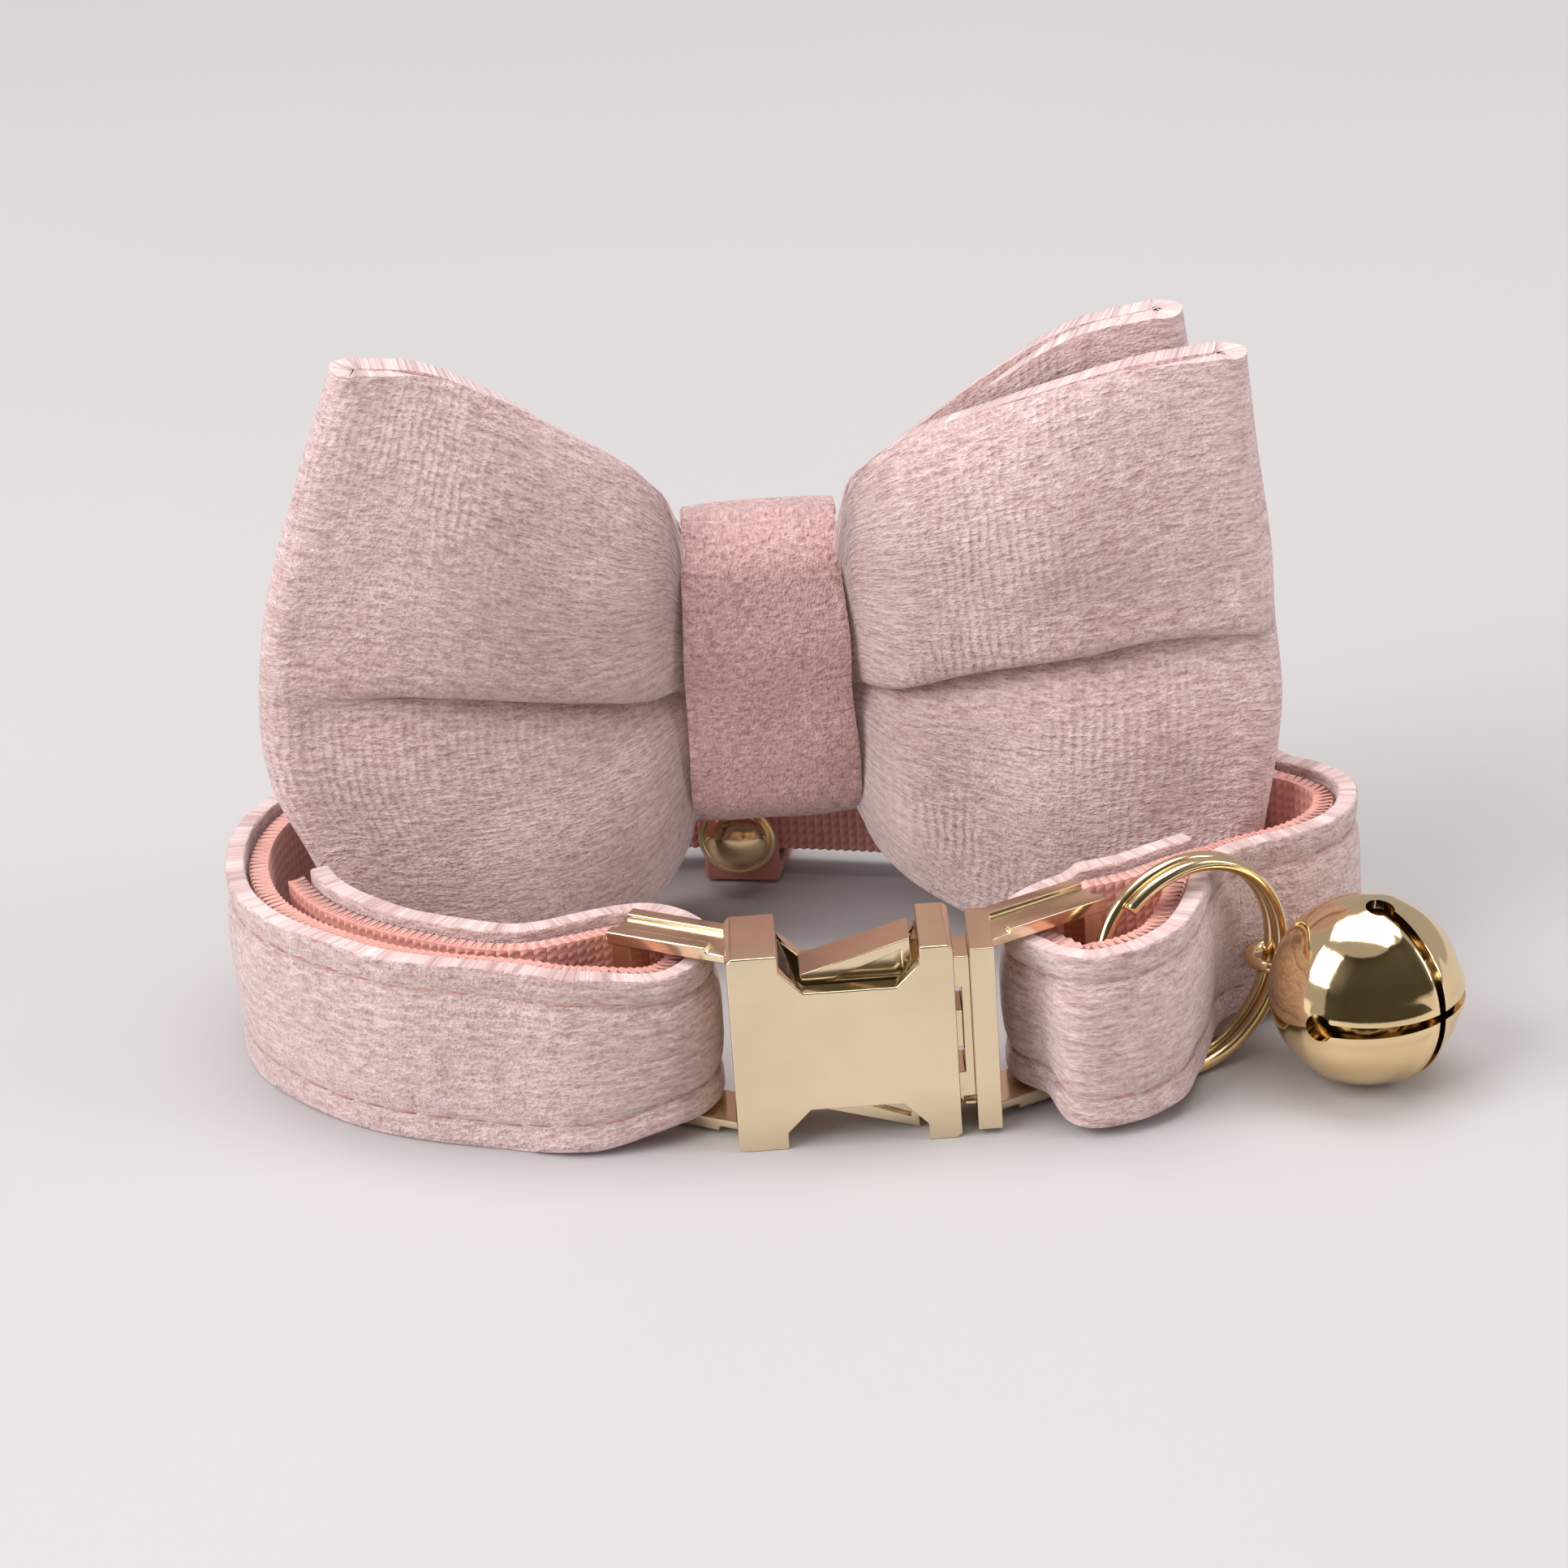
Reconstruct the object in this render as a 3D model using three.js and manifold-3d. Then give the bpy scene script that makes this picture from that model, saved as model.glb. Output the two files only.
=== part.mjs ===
// A small pet's bow tie collar: velvet on nylon webbing, closed by a curved metal buckle,
// with a split ring and a jingle bell at the side and a velvet bow on a snap keeper behind.
// Millimetres, +Z up. The collar stands on its edge on the plane z = 0, as it rests by itself.
// While it is built, the middle of the buckle's front plate is at x = 0, y = 0 and +Y is away
// from the buckle; at the end the group is moved so that its origin is its bottom centre.
import * as THREE from 'three';
import { mergeVertices } from 'three/addons/utils/BufferGeometryUtils.js';
import Module from 'manifold-3d';

const wasm = await Module();
wasm.setup();

// Strap: a velvet ply outside and a webbing ply inside, sewn together
const STRAP_HEIGHT = 12.5;
const VELVET_THICK = 1.3;
const WEBBING_THICK = 1.2;
const WEBBING_INSET = 0.8;
const PLY_GAP = 0.3;
const LOOP_WIDTH = 70.6;
const LOOP_DEPTH = 43;
const LOOP_LEFT_SHARE = 0.524;

// Clearance between two pieces that touch
const GAP = 0.3;
// How far a cutting tool runs past what it cuts
const OVER = 5;

// Buckle: a hollow body that takes the plug, and a strap frame on each half
const BODY_WIDTH = 13.8;
const BODY_HEIGHT = 13.2;
const BODY_DEPTH = 6.2;
const BODY_WALL = 1.2;
const BODY_LEFT = -6.2;
const BODY_BEVEL = 0.3;
const BODY_ROOT_WALL = 1.7;
const WINDOW_DEPTH = 2.6;
const WINDOW_LEFT_TAB = 3.1;
const WINDOW_RIGHT_TAB = 2.05;
const WINDOW_CHAMFER = 1.5;
const FRAME_ANGLE = 29;
const RAIL_THICK = 0.85;
const RAIL_DEPTH = 3.6;
const RAIL_RIDGE = 0.3;
const RIDGE_LAP = 0.1;
const RIDGE_START = 0.4;
const FRAME_BURIED = 1.4;
const FRAME_LENGTH = 7.4;
const FRAME_SET_BACK = 2.1;
const BAR_WIDTH = 1.3;
const BAR_DEPTH = 2.4;
const HALVES_GAP = 1;
const POST_WIDTH = 1.5;
const POST_HEIGHT = 12.4;
const POST_FRONT = 0.1;
const POST_BACK = 5.8;
const PLUG_CLEARANCE = 0.4;
const PLUG_ROOT = 0.5;
const LIP_REACH = 0.55;
const LIP_SHORTER = 2.3;
const LEVER_THIN = 1;
const LEVER_THICK = 2.1;
const LEVER_PROUD = 2.5;
const LEVER_BLUNT = 0.5;
const LEVER_TIP_SHORT = 1.3;
const RECESS_DEPTH = 0.35;
const RECESS_RIM = 0.75;
const RECESS_START = 1.8;
const TONGUE_HEIGHT = 2.6;
const TONGUE_THINNER = 0.2;
const PIN_DIAMETER = 0.64;
const PIN_UP = 1.3;

// Split ring and bell
const RING_DIAMETER = 14.8;
const RING_WIRE = 0.9;
const RING_COIL_GAP = 0.12;
const RING_TURNS = 1.86;
const RING_STEP_AT = 155;
const RING_ANGLE = 30;
const RING_ASIDE = 6.3;
const RING_FORWARD = -0.7;
const RING_OFF_GROUND = 0.05;
const BELL_DIAMETER = 12;
const BELL_WALL = 0.6;
const BELL_SLOT = 0.9;
const BELL_SLOT_END = 1.8;
const BELL_SLOT_REACH = 78;
const BELL_ANGLE = -48;
const BELL_OFF_RING = 0.3;
const SHANK_WIRE = 0.8;
const SHANK_HOLE = 2.6;

// Bow: two velvet sleeves, one behind the other, squeezed by a knot wrap
const BOW_REACH = 33;
const SQUEEZED = 0.19;
const BOW_HEIGHT = 44.4;
const BOW_CENTRE_X = -2.4;
const BOW_FORWARD = 10;
const BOW_PLY = 1.9;
const BOW_PLY_AT_KNOT = 1.2;
const BOW_MOUTH_GAP = 0.5;
const BOW_PUFF = 1.7;
const PUFF_ABOVE = 1.45;
const PUFF_BELOW = 1.15;
const CREASE_AT = 0.03;
const CREASE_WIDTH = 0.14;
const SPREAD_BY = 0.5;
const PLY_FULL_BY = 0.34;
const PARTED_BY = 0.32;
const RISEN_BY = 0.8;
const KNOT_CLEAR = 0.7;
const KNOT_WIDTH = 11.2;
const KNOT_HEIGHT = 21.2;
const KNOT_LOW = 8.4;
const KNOT_WALL = 1.5;
const KNOT_FRONT_SHARE = 0.658;
const KNOT_CORNER = 3.3;
const BACK_BEHIND = 3.3;
const BACK_TURN = 2.4;

// Keeper: a webbing loop on the bow's back that holds the far side of the strap
const KEEPER_WIDTH = 5.2;
const KEEPER_THICK = 1;
const KEEPER_TAIL_TOP = 24;
const KEEPER_LEAN = 0.3;
const KEEPER_ASIDE = 2.2;
const SNAP_DIAMETER = 5.5;
const SNAP_HEIGHT = 1.9;
const SNAP_LOW = 1.5;
const SNAP_RIM = 0.45;
const SNAP_DOME_SHARE = 0.82;

// Materials, as the photo shows them
const velvet = new THREE.MeshStandardMaterial({ color: 0xd9b3ae, roughness: 0.95, metalness: 0 });
const webbing = new THREE.MeshStandardMaterial({ color: 0xd58b7b, roughness: 0.85, metalness: 0 });
const gold = new THREE.MeshStandardMaterial({ color: 0xe3cfa4, roughness: 0.18, metalness: 1 });

const degrees = (angle) => THREE.MathUtils.degToRad(angle);
const mix = THREE.MathUtils.lerp;

// Reads a column of a table at a value of its first column, by a smooth curve through the rows
function read(table, key, column, at) {
  const last = table.length - 1;
  if (at <= table[0][key]) return table[0][column];
  if (at >= table[last][key]) return table[last][column];
  const row = table.findIndex((entry) => entry[key] > at) - 1;
  const slope = (i) => {
    const before = table[Math.max(i - 1, 0)];
    const after = table[Math.min(i + 1, last)];
    return (after[column] - before[column]) / (after[key] - before[key]);
  };
  const from = table[row];
  const to = table[row + 1];
  const span = to[key] - from[key];
  const t = (at - from[key]) / span;
  const rise = 3 * t * t - 2 * t * t * t;
  const start = (t * t * t - 2 * t * t + t) * span * slope(row);
  const end = (t * t * t - t * t) * span * slope(row + 1);
  return mix(from[column], to[column], rise) + start + end;
}

// Triangles to a three.js geometry with flat shading
function toGeometry(positions, index) {
  const geometry = new THREE.BufferGeometry();
  geometry.setAttribute('position', new THREE.Float32BufferAttribute(positions, 3));
  geometry.setIndex(index);
  geometry.computeVertexNormals();
  return geometry;
}

// A cloth sheet with a real thickness and rounded free edges.
// pointAt(i, j) gives the middle of the cloth on a grid, thickAt(i) its thickness, and the
// sheet's outside is on the side of (along i) x (along j). It may close on itself along i.
function clothSheet({ rows, columns, closed, pointAt, thickAt }) {
  const grid = [];
  for (let i = 0; i < rows; i += 1) {
    grid.push([]);
    for (let j = 0; j < columns; j += 1) grid[i].push(pointAt(i, j));
  }
  const rowOf = (i) => (closed ? (i + rows) % rows : THREE.MathUtils.clamp(i, 0, rows - 1));
  const positions = [];
  const ring = 2 * columns + 2;
  for (let i = 0; i < rows; i += 1) {
    const half = thickAt(i) / 2;
    const outer = [];
    const inner = [];
    for (let j = 0; j < columns; j += 1) {
      const middle = grid[i][j];
      const along = grid[rowOf(i + 1)][j].clone().sub(grid[rowOf(i - 1)][j]);
      const left = grid[i][Math.max(j - 1, 0)];
      const right = grid[i][Math.min(j + 1, columns - 1)];
      const across = right.clone().sub(left);
      const normal = along.cross(across).normalize();
      const edge = j === 0 || j === columns - 1;
      const reach = half * (edge ? 0.66 : 1);
      outer.push(middle.clone().addScaledVector(normal, reach));
      inner.push(middle.clone().addScaledVector(normal, -reach));
    }
    const nose = (j, k) => grid[i][j].clone().sub(grid[i][k]).setLength(half * 0.45).add(grid[i][j]);
    const section = [
      ...outer,
      nose(columns - 1, columns - 2),
      ...inner.reverse(),
      nose(0, 1),
    ];
    for (const point of section) positions.push(point.x, point.y, point.z);
  }
  const index = [];
  const quad = (a, b, c, d) => index.push(a, b, c, a, c, d);
  const spans = closed ? rows : rows - 1;
  for (let i = 0; i < spans; i += 1) {
    for (let k = 0; k < ring; k += 1) {
      const next = (k + 1) % ring;
      const far = ((i + 1) % rows) * ring;
      quad(i * ring + k, far + k, far + next, i * ring + next);
    }
  }
  if (!closed) {
    const end = (rows - 1) * ring;
    const innerOf = (j) => 2 * columns - j;
    for (let j = 0; j < columns - 1; j += 1) {
      quad(j, j + 1, innerOf(j + 1), innerOf(j));
      quad(end + j, end + innerOf(j), end + innerOf(j + 1), end + j + 1);
    }
    const tip = columns;
    index.push(tip - 1, tip, tip + 1, 0, ring - 2, ring - 1);
    index.push(end + tip - 1, end + tip + 1, end + tip, end, end + ring - 1, end + ring - 2);
  }
  return toGeometry(positions, index);
}

// Joining and cutting
function solidOf(geometry) {
  const plain = geometry.clone();
  plain.deleteAttribute('normal');
  plain.deleteAttribute('uv');
  const merged = mergeVertices(plain, 1e-5);
  return new wasm.Manifold(new wasm.Mesh({
    numProp: 3,
    vertProperties: new Float32Array(merged.attributes.position.array),
    triVerts: new Uint32Array(merged.index.array),
  }));
}

function geometryOf(solid) {
  const mesh = solid.getMesh();
  return toGeometry(Array.from(mesh.vertProperties), Array.from(mesh.triVerts));
}

const join = (solids) => solids.reduce((whole, part) => whole.add(part));
const cut = (solid, tools) => tools.reduce((whole, tool) => whole.subtract(tool), solid);

// A box between two corners
function block([x0, y0, z0], [x1, y1, z1]) {
  const box = new THREE.BoxGeometry(x1 - x0, y1 - y0, z1 - z0);
  box.translate((x0 + x1) / 2, (y0 + y1) / 2, (z0 + z1) / 2);
  return solidOf(box);
}

// An outline in X and Y, raised from z0 to z1
function plate(outline, z0, z1) {
  const shape = new THREE.Shape(outline.map(([x, y]) => new THREE.Vector2(x, y)));
  const raised = new THREE.ExtrudeGeometry(shape, { depth: z1 - z0, bevelEnabled: false });
  raised.translate(0, 0, z0);
  return solidOf(raised);
}

// An outline in X and Z, drawn through the depth from y0 to y1
function profile(outline, y0, y1) {
  const shape = new THREE.Shape(outline.map(([x, z]) => new THREE.Vector2(x, z)));
  const drawn = new THREE.ExtrudeGeometry(shape, { depth: y1 - y0, bevelEnabled: false });
  drawn.rotateX(Math.PI / 2);
  drawn.translate(0, y1, 0);
  return solidOf(drawn);
}

// Buckle places that the strap and both halves share
const bodyRight = BODY_LEFT + BODY_WIDTH;
const postLeft = bodyRight + HALVES_GAP;
const postRight = postLeft + POST_WIDTH;
const middleHeight = BODY_HEIGHT / 2;
const postLow = middleHeight - POST_HEIGHT / 2;
const postTop = middleHeight + POST_HEIGHT / 2;

// A strap frame: its root on the buckle, its direction away from it and the way to the front
function frameAxes(rootX, side, low, top) {
  const along = new THREE.Vector2(side * Math.cos(degrees(FRAME_ANGLE)), Math.sin(degrees(FRAME_ANGLE)));
  const front = new THREE.Vector2(side * along.y, -side * along.x);
  const root = new THREE.Vector2(rootX, FRAME_SET_BACK + RAIL_DEPTH / 2);
  const at = (far, forward) => root.clone().addScaledVector(along, far).addScaledVector(front, forward);
  return { at, low, top, bar: at(FRAME_LENGTH - BAR_WIDTH / 2, 0) };
}
const leftFrame = frameAxes(BODY_LEFT, -1, BODY_BEVEL, BODY_HEIGHT - BODY_BEVEL);
const rightFrame = frameAxes(postRight, 1, postLow, postTop);

// Both rails of a strap frame with a ridge along each edge, and the bar that the strap goes round
function strapFrame(frame) {
  const { low, top } = frame;
  const strip = (far0, far1, forward0, forward1) => [
    frame.at(far0, forward0),
    frame.at(far1, forward0),
    frame.at(far1, forward1),
    frame.at(far0, forward1),
  ].map((corner) => [corner.x, corner.y]);
  const flat = strip(-FRAME_BURIED, FRAME_LENGTH, -RAIL_DEPTH / 2, RAIL_DEPTH / 2);
  const ridgeDepth = RAIL_DEPTH / 4;
  const backRidge = strip(RIDGE_START, FRAME_LENGTH, -RAIL_DEPTH / 2, -RAIL_DEPTH / 2 + ridgeDepth);
  const frontRidge = strip(RIDGE_START, FRAME_LENGTH, RAIL_DEPTH / 2 - ridgeDepth, RAIL_DEPTH / 2);
  const bar = strip(FRAME_LENGTH - BAR_WIDTH, FRAME_LENGTH, -BAR_DEPTH / 2, BAR_DEPTH / 2);
  const ordered = (outline) => (THREE.ShapeUtils.isClockWise(outline.map(([x, y]) => ({ x, y })))
    ? outline.slice().reverse() : outline);
  return join([
    plate(ordered(flat), low + RAIL_RIDGE, low + RAIL_THICK),
    plate(ordered(flat), top - RAIL_THICK, top - RAIL_RIDGE),
    plate(ordered(backRidge), low, low + RAIL_THICK - RIDGE_LAP),
    plate(ordered(frontRidge), low, low + RAIL_THICK - RIDGE_LAP),
    plate(ordered(backRidge), top - RAIL_THICK + RIDGE_LAP, top),
    plate(ordered(frontRidge), top - RAIL_THICK + RIDGE_LAP, top),
    plate(ordered(bar), low + RAIL_THICK / 2, top - RAIL_THICK / 2),
  ]);
}

// The body: a sleeve whose top and bottom are open between its end tabs, so the levers show
function buckleBody() {
  const left = BODY_LEFT + WINDOW_LEFT_TAB;
  const right = bodyRight - WINDOW_RIGHT_TAB;
  const chamfer = WINDOW_CHAMFER;
  const window = [
    [left, -OVER],
    [right, -OVER],
    [right, WINDOW_DEPTH - chamfer],
    [right - chamfer, WINDOW_DEPTH],
    [left + chamfer, WINDOW_DEPTH],
    [left, WINDOW_DEPTH - chamfer],
  ];
  const upper = window.map(([x, z]) => [x, BODY_HEIGHT - z]).reverse();
  const corner = [
    [BODY_LEFT, BODY_BEVEL],
    [BODY_LEFT + BODY_BEVEL, 0],
    [bodyRight - BODY_BEVEL, 0],
    [bodyRight, BODY_BEVEL],
    [bodyRight, BODY_HEIGHT - BODY_BEVEL],
    [bodyRight - BODY_BEVEL, BODY_HEIGHT],
    [BODY_LEFT + BODY_BEVEL, BODY_HEIGHT],
    [BODY_LEFT, BODY_HEIGHT - BODY_BEVEL],
  ];
  const inside = BODY_LEFT + BODY_ROOT_WALL;
  const cavity = block(
    [inside, BODY_WALL, BODY_WALL],
    [bodyRight + OVER, BODY_DEPTH - BODY_WALL, BODY_HEIGHT - BODY_WALL],
  );
  const sleeve = cut(profile(corner, 0, BODY_DEPTH), [
    cavity,
    profile(window, -OVER, BODY_DEPTH + OVER),
    profile(upper, -OVER, BODY_DEPTH + OVER),
  ]);
  const clear = block(
    [inside, -OVER, -OVER],
    [bodyRight + OVER, BODY_DEPTH + OVER, BODY_HEIGHT + OVER],
  );
  return join([sleeve, strapFrame(leftFrame).subtract(clear)]);
}

// The plug: a post with its strap frame, a middle tongue and two levers that show in the windows
function bucklePlug() {
  const front = BODY_WALL + PLUG_CLEARANCE;
  const back = BODY_DEPTH - BODY_WALL - PLUG_CLEARANCE;
  const root = postLeft + PLUG_ROOT;
  const thin = BODY_LEFT + WINDOW_LEFT_TAB + LEVER_TIP_SHORT;
  const thick = bodyRight - WINDOW_RIGHT_TAB - PLUG_ROOT;
  const innerTop = BODY_HEIGHT - BODY_WALL - PLUG_CLEARANCE;
  const outer = BODY_HEIGHT - WINDOW_DEPTH + LEVER_PROUD;
  const tip = innerTop - LEVER_BLUNT;
  const flipped = (outline) => outline.map(([x, z]) => [x, BODY_HEIGHT - z]).reverse();
  const lever = [
    [thick, innerTop - LEVER_THICK],
    [thin, tip - LEVER_THIN],
    [thin, tip],
    [thick, outer],
    [thick, innerTop],
    [root, innerTop],
    [root, innerTop - LEVER_THICK],
  ];
  const recessEnd = thick - PLUG_ROOT;
  const recess = [
    [thin + RECESS_START, innerTop - LEVER_THIN],
    [recessEnd, innerTop - LEVER_THIN],
    [recessEnd, outer - RECESS_RIM],
  ];
  const tongueLow = middleHeight - TONGUE_HEIGHT / 2;
  const pinReach = HALVES_GAP - GAP;
  const pin = new THREE.CylinderGeometry(PIN_DIAMETER / 2, PIN_DIAMETER / 2, pinReach + PLUG_ROOT, 10);
  pin.rotateZ(Math.PI / 2);
  pin.translate(postLeft + (PLUG_ROOT - pinReach) / 2, front, postLow + PIN_UP);
  const lip = block(
    [postLeft - LIP_REACH, front, postLow + LIP_SHORTER],
    [root, back, postTop - LIP_SHORTER],
  );
  const tongue = block(
    [BODY_LEFT + WINDOW_LEFT_TAB, front + TONGUE_THINNER, tongueLow],
    [root, back - TONGUE_THINNER, tongueLow + TONGUE_HEIGHT],
  );
  const clear = block(
    [BODY_LEFT, -OVER, -OVER],
    [root, BODY_DEPTH + OVER, BODY_HEIGHT + OVER],
  );
  const whole = join([
    block([postLeft, POST_FRONT, postLow], [postRight, POST_BACK, postTop]),
    lip,
    profile(lever, front, back),
    profile(flipped(lever), front, back),
    tongue,
    solidOf(pin),
    strapFrame(rightFrame).subtract(clear),
  ]);
  return cut(whole, [
    profile(recess, -OVER, front + RECESS_DEPTH),
    profile(flipped(recess), -OVER, front + RECESS_DEPTH),
  ]);
}

// Ring: its middle, its plane and its reach
const strapThick = VELVET_THICK + PLY_GAP + WEBBING_THICK;
const ringRadius = (RING_DIAMETER - RING_WIRE) / 2;
const ringThick = RING_WIRE * 2 + RING_COIL_GAP;
const ringAlong = new THREE.Vector2(Math.cos(degrees(RING_ANGLE)), Math.sin(degrees(RING_ANGLE)));
const ringFront = new THREE.Vector2(ringAlong.y, -ringAlong.x);
const ringCentre = rightFrame.bar.clone().add(new THREE.Vector2(RING_ASIDE, RING_FORWARD));
const ringHeight = RING_DIAMETER / 2 + RING_OFF_GROUND;
const ringAt = (along, forward) => ringCentre.clone()
  .addScaledVector(ringAlong, along).addScaledVector(ringFront, forward);

class Coil extends THREE.Curve {
  getPoint(t, target = new THREE.Vector3()) {
    const turned = (t - 0.5) * RING_TURNS;
    const angle = degrees(RING_STEP_AT) + turned * 2 * Math.PI;
    const step = THREE.MathUtils.smoothstep(turned, RING_TURNS / 2 - 1, 1 - RING_TURNS / 2) - 0.5;
    const drift = step * (RING_WIRE + RING_COIL_GAP);
    return target.set(ringRadius * Math.cos(angle), ringRadius * Math.sin(angle), drift);
  }
}

function splitRing() {
  const sides = 6;
  const section = new THREE.Shape();
  const radius = RING_WIRE / 2;
  for (let k = 0; k < sides; k += 1) {
    const angle = ((k + 0.5) / sides) * 2 * Math.PI;
    const [x, y] = [radius * Math.cos(angle), radius * Math.sin(angle)];
    if (k === 0) section.moveTo(x, y);
    else section.lineTo(x, y);
  }
  section.closePath();
  return new THREE.ExtrudeGeometry(section, { steps: 54, extrudePath: new Coil() });
}

// Bell: a thin shell of four petals, cut crosswise from its pole, with a soldered shank
function jingleBell() {
  const outer = BELL_DIAMETER / 2;
  const inner = outer - BELL_WALL;
  const drill = BELL_WALL * 6;
  const shell = solidOf(new THREE.SphereGeometry(outer, 28, 16))
    .subtract(solidOf(new THREE.SphereGeometry(inner, 28, 16)));
  const tools = [];
  for (let k = 0; k < 4; k += 1) {
    const reach = degrees(BELL_SLOT_REACH);
    const slot = new THREE.Shape();
    slot.moveTo(0, 0);
    for (let step = 0; step <= 8; step += 1) {
      const angle = (reach * step) / 8;
      slot.lineTo(2 * outer * Math.cos(angle), 2 * outer * Math.sin(angle));
    }
    slot.closePath();
    const fan = new THREE.ExtrudeGeometry(slot, { depth: BELL_SLOT, bevelEnabled: false });
    fan.translate(0, 0, -BELL_SLOT / 2);
    fan.rotateX((k * Math.PI) / 2);
    tools.push(solidOf(fan));
    const hole = new THREE.CylinderGeometry(BELL_SLOT_END / 2, BELL_SLOT_END / 2, drill, 10);
    hole.translate(0, inner, 0);
    hole.rotateZ(reach - Math.PI / 2);
    hole.rotateX((k * Math.PI) / 2);
    tools.push(solidOf(hole));
  }
  const petals = cut(shell, tools);
  const shank = new THREE.TorusGeometry((SHANK_HOLE + SHANK_WIRE) / 2, SHANK_WIRE / 2, 6, 16);
  shank.translate(-shankReach, 0, 0);
  const hollow = solidOf(new THREE.SphereGeometry(inner + BELL_WALL / 4, 28, 16));
  return petals.add(solidOf(shank).subtract(hollow));
}
const shankReach = BELL_DIAMETER / 2 + ringThick / 2 + BELL_OFF_RING;

// The strap's route seen from above, as the middle of both plies.
// Loop rows: x and y are shares of the loop's width and depth, lift and tall are shares of the
// strap's height: how far the bottom edge is off the ground and how tall the strap is there.
const loopRows = [
  { x: 0.955, y: 0.353, lift: 0.04, tall: 0.97 },
  { x: 0.983, y: 0.395, lift: 0.01, tall: 1 },
  { x: 0.997, y: 0.447, lift: 0, tall: 1 },
  { x: 0.999, y: 0.498, lift: 0, tall: 1 },
  { x: 0.98, y: 0.553, lift: 0, tall: 1 },
  { x: 0.956, y: 0.591, lift: 0, tall: 1 },
  { x: 0.938, y: 0.633, lift: 0.01, tall: 1 },
  { x: 0.925, y: 0.681, lift: 0.02, tall: 1 },
  { x: 0.895, y: 0.735, lift: 0.05, tall: 0.99 },
  { x: 0.843, y: 0.781, lift: 0.08, tall: 0.98 },
  { x: 0.736, y: 0.851, lift: 0.1, tall: 0.98 },
  { x: 0.608, y: 0.914, lift: 0.115, tall: 0.97 },
  { x: 0.482, y: 0.967, lift: 0.115, tall: 0.97 },
  { x: 0.338, y: 1, lift: 0.11, tall: 0.97 },
  { x: 0.177, y: 0.935, lift: 0.05, tall: 0.99 },
  { x: 0.078, y: 0.821, lift: 0.01, tall: 1 },
  { x: 0.03, y: 0.712, lift: 0, tall: 1 },
  { x: 0.007, y: 0.623, lift: 0, tall: 1 },
  { x: 0, y: 0.547, lift: 0, tall: 1 },
  { x: 0.001, y: 0.472, lift: 0, tall: 1 },
  { x: 0.016, y: 0.374, lift: 0, tall: 1 },
  { x: 0.038, y: 0.307, lift: 0, tall: 1 },
  { x: 0.079, y: 0.23, lift: 0, tall: 1 },
  { x: 0.151, y: 0.142, lift: 0, tall: 1 },
  { x: 0.251, y: 0.079, lift: 0, tall: 1 },
  { x: 0.306, y: 0.047, lift: 0.03, tall: 0.96 },
];
// The returned end inside the left of the loop
const returnRows = [
  { x: 0.258, y: 0.172, lift: 0.1, tall: 0.9 },
  { x: 0.161, y: 0.24, lift: 0.09, tall: 0.91 },
  { x: 0.099, y: 0.326, lift: 0.09, tall: 0.91 },
  { x: 0.071, y: 0.395, lift: 0.09, tall: 0.91 },
  { x: 0.058, y: 0.451, lift: 0.08, tall: 0.91 },
];

// A stretch that passes the ring. along and forward are in the ring's own plane and across it,
// as shares of the ring's radius and of the room that ring and strap need side by side.
const ringRows = [
  { along: -1.3, forward: 0.8, lift: 0.1, tall: 0.87 },
  { along: -1, forward: 1.15, lift: 0.12, tall: 0.87 },
  { along: -0.62, forward: 1.16, lift: 0.13, tall: 0.88 },
  { along: -0.33, forward: 0.74, lift: 0.135, tall: 0.88 },
  { along: 0, forward: 0, lift: 0.135, tall: 0.89 },
  { along: 0.28, forward: -0.74, lift: 0.135, tall: 0.89 },
  { along: 0.72, forward: -1.38, lift: 0.11, tall: 0.91 },
];
const besideRing = ringThick / 2 + GAP + strapThick / 2;

// The fold round a frame's bar. far and forward are shares of the strap's thickness, from the bar.
const foldRows = [
  { far: 0.35, forward: -1.25 },
  { far: -0.9, forward: -0.95 },
  { far: -1.5, forward: 0.05 },
  { far: -1.35, forward: 1.05 },
];
// The loose end inside the right of the loop, from the bar: shares of the frame's length
const tailRows = [
  { far: 1.45, forward: -0.4, lift: 0.08, tall: 0.9 },
  { far: 1.06, forward: -0.38, lift: 0.08, tall: 0.91 },
  { far: 0.62, forward: -0.36, lift: 0.08, tall: 0.91 },
  { far: 0.3, forward: -0.42, lift: 0.09, tall: 0.9 },
];
const loopLeft = -LOOP_WIDTH * LOOP_LEFT_SHARE;

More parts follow.
